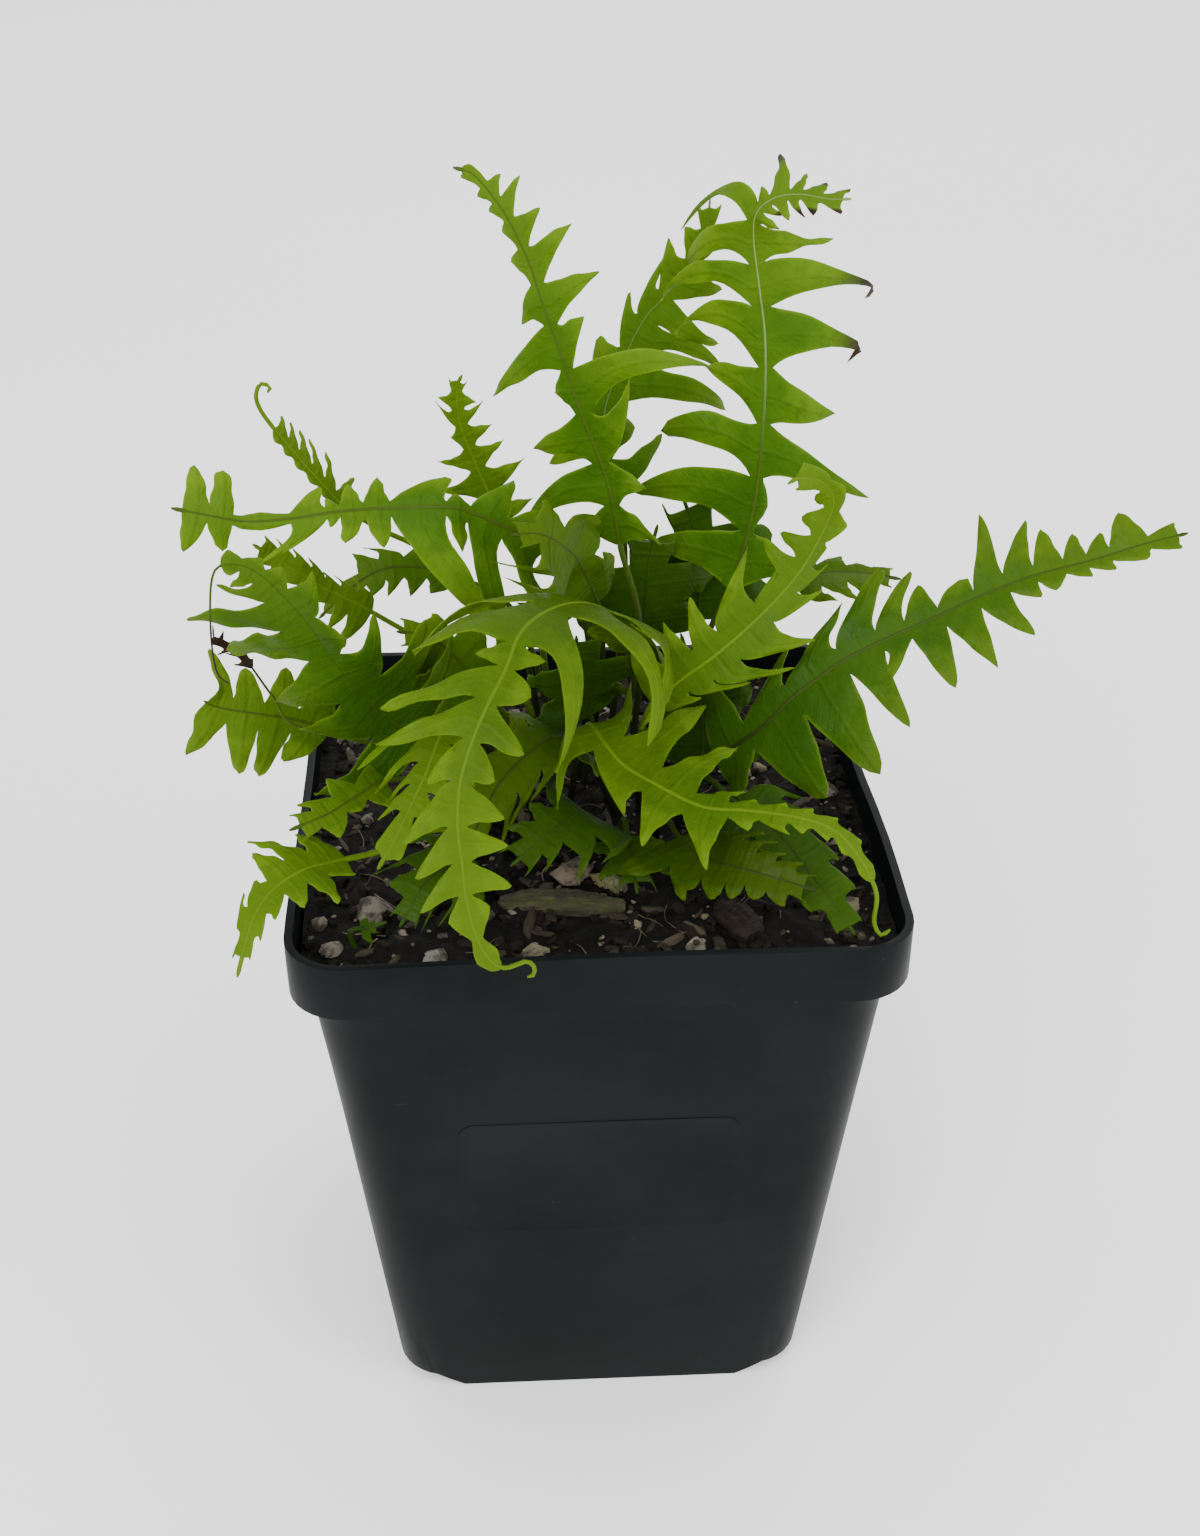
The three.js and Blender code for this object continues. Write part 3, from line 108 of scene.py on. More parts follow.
def selectWhere(test, kind="FACE"):
    # selects faces, edges or vertices of the edited mesh by their place
    bm = bmesh.from_edit_mesh(bpy.context.object.data)
    bpy.ops.mesh.select_mode(type=kind)
    bpy.ops.mesh.select_all(action="DESELECT")
    for item in {"FACE": bm.faces, "EDGE": bm.edges, "VERT": bm.verts}[kind]:
        if test(item):
            item.select_set(True)
    bm.select_flush_mode()
    bmesh.update_edit_mesh(bpy.context.object.data)


def grey(value):
    return (value, value, value)


# Materials: every one is built from nodes that read Object coordinates or the piece's own attributes
class NodeBook:
    def __init__(self, name):
        self.material = bpy.data.materials.new(name)
        self.material.use_nodes = True
        self.tree = self.material.node_tree
        self.tree.nodes.clear()
        self.shader = self.add("ShaderNodeBsdfPrincipled")
        self.add("ShaderNodeOutputMaterial", {"Surface": self.shader.outputs["BSDF"]})

    def put(self, socket, value):
        # links another node's output, or sets a plain number or colour
        if isinstance(value, bpy.types.NodeSocket):
            self.tree.links.new(value, socket)
        else:
            socket.default_value = (*value, 1) if socket.type == "RGBA" else value

    def add(self, kind, inputs=None, **settings):
        node = self.tree.nodes.new(kind)
        for key, value in settings.items():
            setattr(node, key, value)
        for name, value in (inputs or {}).items():
            self.put(node.inputs[name], value)
        return node

    def finish(self, inputs):
        for name, value in inputs.items():
            self.put(self.shader.inputs[name], value)
        return self.material

    def coordinates(self, scale=(1, 1, 1), turn=(0, 0, 0)):
        place = self.add("ShaderNodeTexCoord").outputs["Object"]
        return self.add("ShaderNodeMapping", {"Vector": place, "Scale": scale, "Rotation": turn}).outputs["Vector"]

    def attribute(self, name):
        return self.add("ShaderNodeAttribute", attribute_name=name).outputs["Fac"]

    def tint(self):
        return self.add("ShaderNodeVertexColor", layer_name="tint").outputs["Color"]

    def noise(self, vector, scale, detail=4, roughness=0.55):
        inputs = {"Vector": vector, "Scale": scale, "Detail": detail, "Roughness": roughness}
        return self.add("ShaderNodeTexNoise", inputs).outputs["Fac"]

    def ramp(self, factor, stops, smoothly=True):
        node = self.add("ShaderNodeValToRGB", {"Fac": factor})
        node.color_ramp.interpolation = "EASE" if smoothly else "LINEAR"
        elements = node.color_ramp.elements
        while len(elements) > 1:
            elements.remove(elements[-1])
        for i, (where, colour) in enumerate(stops):
            element = elements[0] if i == 0 else elements.new(where)
            element.position = where
            element.color = (*colour, 1)
        return node.outputs["Color"]

    def fade(self, factor, start, end, first=0, last=1, smoothly=True):
        # goes from the first grey to the last one while the factor goes from start to end
        return self.ramp(factor, [(start, grey(first)), (end, grey(last))], smoothly)

    def mix(self, factor, first, second, blend="MIX"):
        inputs = {0: factor, 6: first, 7: second}
        return self.add("ShaderNodeMix", inputs, data_type="RGBA", blend_type=blend).outputs[2]

    def math(self, operation, *values):
        return self.add("ShaderNodeMath", dict(enumerate(values)), operation=operation).outputs[0]

    def bump(self, height, strength, distance, below=None):
        inputs = {"Height": height, "Strength": strength, "Distance": distance}
        if below is not None:
            inputs["Normal"] = below
        return self.add("ShaderNodeBump", inputs).outputs["Normal"]


# What a frond doesn't give itself is as here
frondShape = {
    "fold": 0, "droop": 15, "web": 0.3, "waist": 0.95, "taper": 0.6, "arch": 0,
    # a frond's brightness factor below 1 is painted shade for fronds low in and under the crown, and above 1
    # painted light for the tall ones
    "paintedLight": 1, "paleRib": 0, "tipRadius": 0.42, "witherFrom": 2, "curl": {}, "dry": {},
}

# The fronds, in millimetres and degrees, as in the part's source. A route is the line of the rib, bases are where
# the lobes meet along it, and a lobe is its length and lean, and then its own droop, arch, waist and taper.
fronds = [
    {
        "name": "frond_tall_left", "tone": "mature", "paintedLight": 1.2,
        "route": [
            [1, 12, 97], [9.5, 13, 129.5], [6, 13, 150.5], [4.5, 12, 159.5], [3, 12, 165.5],
            [-0.5, 11, 175.5], [-4, 10, 187], [-7, 9, 196.5], [-9, 9, 203], [-12.5, 8, 211], [-17, 10, 216.5],
            [-20.5, 13, 217],
        ],
        "face": [-0.2, -1, 0.3], "faceEnd": [-0.5, -0.8, 0.2],
        "bases": [55, 63, 71.5, 81.5, 90, 98.5, 106, 112.5, 118, 121.5, 124.5, 129],
        "left": [
            [9, -40, 50], [21, -25], [11, -5, 25, 0.05, 0.75, 0.8], [3, 0], [18, -30, 25, 0, 0.8, 0.85],
            [6, -35], [3, 20], [2, 20], [2, 20], [2, 20], [2, 50],
        ],
        "right": [
            [8, -35], [6, -20], [14, 45, 10, -0.1], [24, -10, 60, 0.22], [7, 40], [11, 20], [10, 30], [6, 30],
            [6, 30], [3, 20], [1, 50],
        ],
        "fold": 5, "droop": 25, "web": 0.06, "waist": 0.85, "taper": 0.8, "arch": 0.1,
    },
    {
        "name": "frond_tall_right", "tone": "mature", "paintedLight": 1.2, "paleRib": 1, "tipRadius": 0.3,
        "curl": {(1, 4): 110, (1, 5): 60},
        "dry": {
            (1, 4): 0.9, (1, 5): 0.9, (1, 8): 1, (1, 10): 1, (-1, 9): 0.8, (1, 11): 1, (1, 12): 1,
            (-1, 11): 0.8, (-1, 12): 0.8,
        },
        "route": [
            [11, 15, 97], [22, 18, 128.5], [27, 19, 141], [29.5, 19, 152.5], [30.5, 19, 162], [31, 19, 174],
            [30.5, 18, 185.5], [29, 16, 195], [27.5, 14, 204], [27.5, 11, 209.5], [30, 9, 212.5],
            [33.5, 6, 214], [37.5, 2, 214.5], [40.5, -1, 215.5],
        ],
        "face": [0, -1, 0.3], "faceEnd": [-0.2, -0.8, 0.8],
        "bases": [44, 55.5, 66, 76, 86.5, 98, 106.5, 115, 118.5, 121, 124.5, 127, 131, 135],
        "left": [
            [16, -10, 30, 0.05], [22, -10, 25, 0.13, 0.95, 0.55], [18, 0, 30, 0.17, 0.7, 0.3],
            [11, 20, 30, 0.15, 0.85, 0.9], [16, -5, 40, 0.34, 1, 1.5], [19, -15, 50, 0.3, 0.8, 1],
            [14, -30, 40, 0.23, 0.7, 0.25], [24, -55, 25, 0.26, 0.9, 0.6], [3, 0], [9, -15], [4, 5], [3, 20],
            [3, 50],
        ],
        "right": [
            [10, 0], [2, 0], [23, -25, 35, 0, 0.75, 1], [13, -20, 30, -0.05, 0.9, 0.8],
            [19, -25, 40, 0.1, 0.8, 1.2], [22, -25, 45, 0.12, 1.05, 1.4], [13, -10, 25, 0, 0.85, 1.35],
            [4, 0], [4, 35, 60, 0], [4, 20], [4, 35, 40, 0], [3, 30], [3, 50],
        ],
        "droop": 30, "web": 0.03, "waist": 0.84, "taper": 0.62, "arch": 0.1,
    },
    {
        "name": "frond_back_grey", "tone": "mature", "paintedLight": 1.15, "paleRib": 0.6, "tipRadius": 0.25,
        "route": [
            [4, 20, 97], [8, 28, 139.5], [4.5, 32, 155.5], [4.5, 33, 167], [8.5, 34, 177.5],
            [11.5, 34, 183.5], [14.5, 34, 187], [19, 33, 193.5], [21.5, 32, 199.5], [22, 31, 205.5],
        ],
        "face": [0.1, -1, 0.2], "faceEnd": [0.2, -1, 0.3],
        "bases": [55, 62.5, 73, 83.5, 90, 95.5, 103, 109.5, 113.5],
        "left": [
            [9, 5], [11, -35, 35], [7, 40, 35, 0, 0.9, 0.45], [7, 55, 35, 0, 0.85, 0.35],
            [8, 55, 35, 0, 0.9, 0.4], [7, 40], [4, 30], [3, 50],
        ],
        "right": [
            [13, 20], [6, 0], [23, 0, 35, 0.1, 0.6, 0.6], [19, -5, 30, 0.12, 0.6, 0.6], [14, 10], [8, 15],
            [4, 30], [3, 50],
        ],
        "fold": 5, "droop": 35, "web": 0.15, "waist": 0.85, "taper": 0.7,
    },
    {
        "name": "frond_small_upright", "tone": "young",
        "route": [
            [-5, 20, 97], [-8.5, 30, 131], [-14.5, 34, 143.5], [-16, 35, 149], [-18.5, 35, 156],
            [-21, 35, 163.5], [-21.5, 35, 170.5], [-20.5, 34, 173.5],
        ],
        "face": [0.1, -1, 0.3], "faceEnd": [0, -1, 0.3],
        "bases": [50, 56.5, 62.5, 67, 71.5, 74.5, 78, 80],
        "left": [[8, 10], [8, 15], [6, 20], [2, 20], [5, 50], [3, 15], [2, 50]],
        "right": [[7, 10], [8, 10], [6, 10], [5, 5], [5, 30], [3, -10], [2, 50]],
        "fold": 5, "droop": 10, "web": 0.12, "waist": 0.72, "taper": 1,
    },
    {
        "name": "frond_curl_left", "tone": "young",
        "route": [
            [-7, 16, 97], [-11.5, 20, 128], [-25.5, 22, 143.5], [-35.5, 20, 151], [-41, 16, 157],
            [-44.5, 14, 162.5], [-48.5, 13, 168.5], [-51.5, 12, 173.5], [-53.5, 11, 177.5], [-54, 10, 180.5],
            [-53, 9, 183], [-51.5, 9, 182.5], [-52, 9, 181.5],
        ],
        "face": [0, -0.5, 1], "faceEnd": [0.5, -0.7, 0.6],
        "bases": [75, 78.5, 82, 85.5, 89, 92, 95],
        "left": [[2, 0], [1, 0], [1, 0], [1, 0], [1, 0], [1, 0]],
        "right": [[6, -15], [6, 40], [6, 50], [5, 45], [4, 40], [3, 35]],
        "fold": 5, "droop": 20, "web": 0.06, "waist": 0.85,
    },
    {
        "name": "frond_long_left", "tone": "mature", "paintedLight": 1.2,
        "route": [
            [-2, 12, 97], [0.5, 12, 132], [-7, 10, 151], [-14.5, 7, 157.5], [-19.5, 5, 161],
            [-23.5, 2, 163.5], [-32.5, -2, 165.5], [-40.5, -7, 167.5], [-47, -10, 168], [-54.5, -12, 168.5],
            [-59.5, -15, 171], [-65.5, -18, 174],
        ],
        "face": [0, -0.9, 0.7], "faceEnd": [0, -0.9, 0.5],
        "bases": [56, 65.5, 73, 78.5, 88.5, 93.5, 98, 100.5, 106.5, 116, 120.5, 125],
        "left": [
            [21, -50], [25, -40, 50, 0, 0.9, 0.35], [7, -25], [23, -35, 40, 0, 0.85, 0.35],
            [6, -10, 20, 0, 1, 0.5], [5, 20, 20, 0, 1, 0.4], [2, 20], [12, 58, 30, 0, 0.8, 0.6], [1, 0],
            [5, -20, 20, 0, 1, 0.4], [6, 5, 20, 0, 0.95, 0.5],
        ],
        "right": [
            [5, -20], [9, -25, 35, 0, 1, 0.9], [2, 20], [7, -50, 15, 0, 0.9, 0.35], [5, -15], [4, -5],
            [2, 20], [5, -35, 20, 0, 0.8, 0.5], [1, 0], [7, 5, 10, 0, 1, 0.25], [7, 10, 10, 0, 1, 0.4],
        ],
        "droop": 20, "web": 0.06, "waist": 0.9,
    },
    {
        "name": "frond_left_broad", "tone": "mature", "paintedLight": 0.85, "tipRadius": 0.16, "witherFrom": 0.86,
        "route": [
            [-7, 6, 97], [-16, -6, 117], [-27.5, -13, 125.5], [-34.5, -19, 136.5], [-40, -25, 147.5],
            [-44, -30, 158.5], [-48.5, -33, 167], [-52.5, -34, 171.5], [-56.5, -35, 172.5], [-58, -36, 170.5],
            [-58.5, -38, 165], [-58.5, -39, 159.5], [-58, -39, 156], [-56.5, -39, 154.5],
        ],
        "face": [0.1, -0.6, 0.9], "faceEnd": [-0.5, -0.8, 0.4],
        "bases": [44.5, 54, 64.5, 75, 84.5, 91.5, 96, 99.5, 102.5],
        "left": [
            [18, 20], [13, 35], [12, -5], [15, 5, 20, 0.1], [16, 25, 15, 0.12], [8, 40], [4, 20], [1.5, 10],
        ],
        "right": [[17, 10], [16, 15], [14, 45], [4, -30], [7, 35], [3, 20], [2, -15], [2, 10]],
        "fold": 8, "droop": 25, "web": 0.26, "waist": 0.92, "taper": 0.7,
    },
    {
        "name": "frond_bright_back_left", "tone": "young",
        "route": [
            [-6, 10, 97], [-12, 6, 126], [-29, 8, 135.5], [-39, 6, 143.5], [-44, 5, 147], [-48.5, 3, 151.5],
            [-52.5, 2, 155], [-55.5, 0, 158.5],
        ],
        "face": [0, -0.7, 0.8], "faceEnd": [0, -0.8, 0.6],
        "bases": [60.5, 64.5, 67.5, 71, 74.5, 78, 81, 84.5],
        "left": [[7, 10], [6, 10], [3.5, 45], [3.5, 45], [3.5, 45], [3, 45], [3, 50]],
        "right": [[5, 50], [4, 55], [3, 50], [4, 50], [4, 50], [4, 50], [3, 50]],
        "fold": 5, "droop": 10, "waist": 0.85, "taper": 0.7,
    },
    {
        "name": "frond_left_hanging", "tone": "mature",
        "route": [
            [-9, 3, 97], [-24.5, -2, 118], [-37, -7, 123.5], [-45, -9, 128], [-49.5, -10, 130.5],
            [-55, -12, 133], [-59.5, -13, 134.5], [-62.5, -14, 136], [-64, -15, 137.5],
        ],
        "face": [0, -0.9, 0.3], "faceEnd": [-0.2, -0.9, 0.3],
        "bases": [50, 56.5, 62.5, 68, 72.5],
        "left": [[8, 10], [11, 0], [11, -5], [10, 5]],
        "right": [[6, -5], [8, 5], [7, 10], [10, 30]],
        "web": 0.2, "waist": 0.92, "taper": 0.45,
    },
    {
        "name": "frond_withered", "tone": "withered", "tipRadius": 0.16, "witherFrom": 0.86,
        "route": [
            [-8, 9, 97], [-21, 2, 119.5], [-37, -7, 125.5], [-49, -17, 133.5], [-52.5, -20, 141.5],
            [-56, -22, 149.5], [-58, -23, 152], [-60, -24, 154], [-60, -25, 157],
        ],
        "face": [0, -0.5, 1], "faceEnd": [-0.3, -0.8, 0.4],
        "bases": [80, 82.5, 85, 87, 89.5],
        "left": [[2, 20], [2, 50], [2, 20], [1, 40]],
        "right": [[1, 20], [2, 20], [1, 50], [2, 20]],
        "fold": 10, "web": 0.05, "waist": 0.5, "taper": 1,
    },
    {
        "name": "frond_front_arch", "tone": "young", "paintedLight": 0.92,
        "route": [
            [2, 3, 97], [7.5, 3, 127], [6.5, -3, 139.5], [3.5, -9, 148.5], [-2, -15, 154], [-7.5, -22, 156.5],
            [-12, -29, 156.5], [-14.5, -35, 153.5], [-17.5, -40, 150], [-20, -44, 146], [-22, -48, 141],
            [-22.5, -52, 136], [-22, -55, 131.5], [-21.5, -57.5, 126], [-20, -60, 120.5], [-18, -61, 117],
            [-16, -61.5, 116], [-14, -62, 117], [-12.5, -62, 117.5], [-11.5, -62, 116.5], [-11.5, -62, 115],
            [-12.5, -62, 114.5],
        ],
        "face": [0.2, 0.9, 1], "faceEnd": [0, -0.9, 0.45],
        "bases": [40.5, 53.5, 63, 74, 86, 90.5, 97, 103.5, 110, 117, 122.5, 127.5, 134.5, 140.5],
        "left": [
            [14, -35, 100, 0, 0.6, 0.4], [25, 5, 95, 0, 0.55, 0.4], [28, 0, 80, 0, 0.6, 0.4],
            [27, 40, 70, 0, 0.62, 0.4], [5, -10], [5, -10, 30, 0, 1, 0.5], [8, 15, 15, 0.05, 0.8, 0.55],
            [5, 20, 10, 0, 0.9, 0.6], [7, 15, 5, 0, 0.85, 0.7], [7, 10, 5, 0, 0.85, 0.7],
            [7, 15, 5, 0, 0.9, 0.6], [3, -15], [1.5, 10],
        ],
        "right": [
            [6, 10], [8, 20], [26, 55, 75, 0, 0.9, 0.6], [19, 45, 40, 0, 0.9, 0.55], [5, 10],
            [18, 35, 15, 0.05, 0.8, 0.5], [16, 35, 10, 0.05, 0.8, 0.5], [6, 45, 10, 0, 1, 0.4],
            [10, 40, 5, 0.03, 0.85, 0.6], [8, 30, 5, 0.03, 0.9, 0.6], [8, 35, 5, 0.03, 0.9, 0.6], [3, 0],
            [1.5, 10],
        ],
        "droop": 10, "web": 0.1, "waist": 0.88, "taper": 0.75,
    },
    {
        "name": "frond_front_right", "tone": "young",
        "route": [
            [7, 1, 97], [1.5, -4, 114], [-1, -10, 125.5], [-0.5, -15, 131], [1.5, -20, 130.5],
            [4.5, -24, 128.5], [9, -28, 127.5], [16.5, -34, 126.5], [24, -38, 128], [31.5, -42, 129],
            [37, -44, 127.5], [41, -46, 123], [43.5, -47, 117.5], [43.5, -47, 112], [44.5, -48, 110],
            [46, -48, 111],
        ],
        "face": [-0.1, 0.2, 1], "faceEnd": [0.3, -1, 0.5],
        "bases": [39, 45.5, 56, 64, 71, 76.5, 81.5, 85.5, 89.5, 94.5, 99.5],
        "left": [
            [16, -45], [22, -5], [15, 10], [6, 50], [2, 40], [2, 40], [2, 40], [2, 40], [2, 40], [1, 30],
        ],
        "right": [
            [17, 45], [9, 45], [10, 10], [10, 15], [3, 20], [4, 50], [2, 20], [2, 35], [1.5, 20], [1, 20],
        ],
        "droop": 20, "web": 0.2, "waist": 0.75, "taper": 0.75,
    },
    {
        "name": "frond_right_broad", "tone": "mature", "paintedLight": 0.85,
        "route": [
            [13, 6, 97], [17.5, -4, 112.5], [24, -8, 121], [29, -10, 126.5], [33.5, -11, 132.5],
            [37.5, -11, 136], [42.5, -11, 140], [50, -10, 143.5], [57.5, -9, 146.5], [64.5, -8, 149.5],
            [73, -7, 152.5], [84, -6, 155], [91.5, -6, 157.5], [99.5, -5, 159],
        ],
        "face": [-0.2, -0.8, 0.9], "faceEnd": [-0.1, -0.8, 0.8],
        "bases": [27, 35.5, 46.5, 57, 64, 69, 75, 81.5, 87, 92, 97, 101, 105, 111.5, 116.5],
        "left": [
            [14, 10], [12, 60], [13, 55, 15, 0, 0.8, 0.6], [14, 40, 15, 0, 0.95, 0.3],
            [11, 40, 15, 0, 0.95, 0.4], [6, 15], [4, 30, 10, 0, 1, 0.3], [13, 15, 10, 0.05, 0.85, 0.75],
            [10, 25], [7, 5], [5, 10], [4, 20], [6, 0], [3, 50],
        ],
        "right": [
            [9, -25], [16, -5, 15, 0, 1, 0.5], [19, 0, 15, 0, 1, 0.6], [15, 5, 15, 0, 0.8, 0.6],
            [8, -35, 15, 0, 0.75, 0.4], [12, 0, 15, 0, 0.95, 0.55], [12, 5, 15, 0, 0.95, 0.8], [10, 20],
            [4, 30], [3, 0], [3, 40], [3, 40], [3, 40], [3, 50],
        ],
        "fold": 8, "web": 0.14, "taper": 0.62,
    },
    {
        "name": "frond_gold_right", "tone": "young",
        "route": [
            [10, 3, 97], [8, -5, 115.5], [9.5, -9, 129.5], [14.5, -11, 136.5], [21, -12, 142.5],
            [28.5, -11, 149.5], [34.5, -9, 156], [38.5, -7, 163], [39.5, -7, 168], [37, -8, 171.5],
            [33.5, -9, 172.5], [31.5, -10, 172],
        ],
        "face": [-0.3, -0.8, 0.6], "faceEnd": [-0.2, -1, 0.2],
        "bases": [37.5, 44.5, 49.5, 55, 63, 69, 73.5, 78, 83.5, 89, 94.5],
        "left": [
            [9, -5], [9, 5], [10, 15], [13, 45, 15, 0, 0.9, 0.8], [6, 60, 15, 0, 1, 0.6],
            [8, 10, 40, 0, 0.75, 0.6], [6, 0, 50, 0, 0.7, 0.6], [4, -10, 50, 0, 0.7, 0.6],
            [3, -10, 50, 0, 0.7, 0.6], [3, 50],
        ],
        "right": [
            [6, 50], [10, 50, 20, 0, 0.8, 0.8], [13, 45], [11, 40], [7, 55, 15, 0, 1, 0.5], [5, 60], [2, 50],
            [3, 20], [2, 20], [3, 50],
        ],
        "fold": 10, "droop": 20, "web": 0.25, "waist": 0.88, "taper": 0.75,
    },
    {
        "name": "frond_front_toothed", "tone": "mature", "paintedLight": 0.5,
        "route": [
            [11, -7, 97], [11.5, -14, 118], [11.5, -19, 118], [13, -26, 116.5], [16.5, -33, 116],
            [22.5, -38, 117], [29, -41, 116.5], [34.5, -43, 115.5],
        ],
        "face": [-0.1, 0.3, 1], "faceEnd": [0, -0.8, 0.7],
        "bases": [37.5, 42, 46.5, 50.5, 53.5, 57, 60.5, 62.5],
        "left": [[5, -15], [8, 30], [8, 35], [7, 35], [5, 35], [4, 35], [3, 50]],
        "right": [[12, -10], [8, 15], [6, 5], [5, 0], [4, 0], [4, 20], [3, 50]],
        "fold": 5, "web": 0.55, "waist": 0.92, "taper": 0.4,
    },
    {
        "name": "frond_right_old", "tone": "shaded",
        "route": [
            [14, -2, 97], [18.5, -12, 117.5], [24, -20, 117.5], [30, -26, 116], [34, -33, 113.5],
            [37.5, -40, 111.5], [40.5, -47, 109.5],
        ],
        "face": [-0.3, -0.6, 1], "faceEnd": [-0.2, -0.6, 1],
        "bases": [33.5, 39.5, 46, 52.5, 59.5, 65],
        "left": [[9, 45], [7, 35], [6, 35], [5, 35], [3, 50]],
        "right": [[6, 15], [4, 5], [3, 20], [4, 15], [3, 50]],
        "fold": 5, "droop": 5, "web": 0.7, "taper": 0.5,
    },
    {
        "name": "frond_corner_left", "tone": "young",
        "route": [
            [-10, -6, 97], [-25, -25, 117.5], [-35.5, -36, 121], [-43, -44, 124.5], [-47, -49, 126.5],
            [-51, -53, 126], [-53.5, -57, 124.5], [-55, -60, 121.5], [-56.5, -63, 117],
        ],
        "face": [0, -0.6, 1], "faceEnd": [-0.4, -0.7, 0.6],
        "bases": [55.5, 61.5, 66.5, 71, 76, 80, 83.5],
        "left": [[4, -50], [7, 0], [5, 10], [4, 40], [3, 50], [2, 60]],
        "right": [[7, 15], [10, 25], [7, 5], [4, -35], [5, -55], [2.5, 60]],
        "waist": 0.88,
    },
    {
        "name": "frond_low_left_grey", "tone": "mature",
        "route": [
            [-10, 0, 97], [-26, -17, 120], [-33.5, -27, 129], [-39, -33, 129.5], [-43.5, -38, 129.5],
            [-49, -42, 129.5],
        ],
        "face": [0, -0.6, 1], "faceEnd": [0, -0.7, 0.8],
        "bases": [50, 55, 60, 65, 68],
        "left": [[7, -30], [2, -10], [4, 15], [3, 50]],
        "right": [[4, -40], [5, 5], [5, 45], [3, 50]],
        "droop": 10, "waist": 0.85,
    },
    {
        "name": "frond_low_left_inner", "tone": "young",
        "route": [
            [-6, -3, 97], [-19, -18, 134.5], [-23.5, -25, 139.5], [-25.5, -31, 138.5], [-27.5, -35, 135],
            [-29.5, -38, 132], [-32.5, -42, 127.5], [-35.5, -44, 123],
        ],
        "face": [0, -0.6, 0.9], "faceEnd": [0, -0.8, 0.6],
        "bases": [55, 59.5, 64, 68, 72.5, 80.5],
        "left": [[9, 20], [8, 20], [7, 20], [5, 30], [3, 50]],
        "right": [[15, 45], [11, 55], [7, 60], [6, 55], [3, 50]],
        "droop": 20, "web": 0.15, "waist": 0.85,
    },
    {
        "name": "frond_low_left_dark", "tone": "shaded",
        "route": [[-7, -9, 97], [-16, -19, 110], [-23.5, -25, 111], [-28.5, -31, 111], [-33, -37, 106.5]],
        "face": [0, -0.6, 1], "faceEnd": [0, -0.7, 0.8],
        "bases": [25.5, 30.5, 35.5, 40.5, 43.5],
        "left": [[8, 10], [11, 50], [7, 60], [3, 50]],
        "right": [[10, 40], [11, 60], [5, 20], [3, 50]],
        "droop": 10, "web": 0.4, "waist": 0.9,
    },
    {
        "name": "frond_back_right", "tone": "mature", "paintedLight": 0.8,
        "route": [
            [14, 17, 97], [29, 24, 125], [38, 26, 134], [43.5, 26, 137], [50.5, 26, 137], [58, 25, 136],
        ],
        "face": [0, -0.2, 1], "faceEnd": [0.2, -0.4, 1],
        "bases": [46.5, 51.5, 56.5, 61, 64.5],
        "left": [[5, 30], [4, 30], [2, -5], [3, 50]],
        "right": [[8, 30], [7, 30], [5, 20], [3, 50]],
        "fold": 5, "droop": 20, "web": 0.4, "waist": 0.9, "taper": 0.7,
    },
    {
        "name": "frond_grey_left", "tone": "mature",
        "route": [
            [-3, 17, 97], [-11.5, 24, 130], [-24, 27, 138], [-32.5, 26, 140.5], [-38, 25, 139.5],
            [-42.5, 24, 136.5], [-47.5, 23, 132],
        ],
        "face": [0, -0.7, 0.8], "faceEnd": [0, -0.8, 0.6],
        "bases": [48.5, 54.5, 59, 63, 67, 71, 76],
        "left": [[4, 15], [5, 10], [5, 20], [7, 55], [2, 40], [1.5, 50]],
        "right": [[7, 20], [4, -10], [6, 50], [5, 20], [2, 40], [1.5, 50]],
        "waist": 0.8, "taper": 0.9,
    },
    {
        "name": "frond_centre_dark", "tone": "shaded",
        "route": [[8, 18, 97], [10.5, 24, 117], [11, 22, 132], [11.5, 20, 143], [13, 19, 151]],
        "face": [0.1, -0.8, 0.6], "faceEnd": [0.2, -0.8, 0.5],
        "bases": [30, 38, 47, 52],
        "left": [[12, 10], [14, 25], [6, 50]],
        "right": [[13, -25], [13, -5], [6, 45]],
        "web": 0.55, "taper": 0.45,
    },
    {
        "name": "frond_centre_broad", "tone": "shaded",
        "route": [[9, 20, 97], [20, 28, 118.5], [21.5, 28, 133], [20, 27, 146], [18, 26, 153]],
        "face": [0, -0.9, 0.5], "faceEnd": [0, -0.9, 0.4],
        "bases": [34, 43, 53, 58],
        "left": [[11, 10], [13, 25], [6, 50]],
        "right": [[13, 0], [14, 0], [6, 45]],
        "web": 0.6, "taper": 0.5,
    },
    {
        "name": "frond_centre_left", "tone": "mature", "paintedLight": 0.8,
        "route": [
            [0, 16, 97], [3, 12, 132], [-0.5, 3, 150], [-3.5, -1, 156.5], [-8, -5, 161.5], [-13, -8, 163],
        ],
        "face": [0, -0.6, 0.9], "faceEnd": [-0.2, -0.7, 0.7],
        "bases": [46.5, 59, 67, 73, 76.5],
        "left": [[16, 40], [18, 55], [15, 60], [3, 50]],
        "right": [[6, 0], [11, -35], [6, 10], [3, 50]],
        "fold": 5, "droop": 20, "web": 0.4, "waist": 0.9, "taper": 0.55,
    },
    {
        "name": "frond_dark_front", "tone": "shaded",
        "route": [[3, -9, 97], [-1, -22, 117.5], [-6, -29, 120.5], [-10.5, -34, 120], [-14.5, -37, 118]],
        "face": [0.3, 0.3, 1], "faceEnd": [0, -0.6, 1],
        "bases": [24.5, 32, 37.5, 41.5, 44.5],
        "left": [[20, 50], [13, 40], [6, 45], [4, 50]],
        "right": [[11, -20], [6, 0], [6, 25], [4, 50]],
        "fold": 5, "droop": 10, "web": 0.4, "waist": 0.9,
    },
    {
        "name": "frond_dark_middle", "tone": "shaded",
        "route": [[4, -11, 97], [5, -15, 111.5], [5.5, -20, 112], [6, -26, 111], [6.5, -31, 107.5]],
        "face": [0, 0.4, 1], "faceEnd": [0, -0.6, 1],
        "bases": [21.5, 26, 29.5, 31],
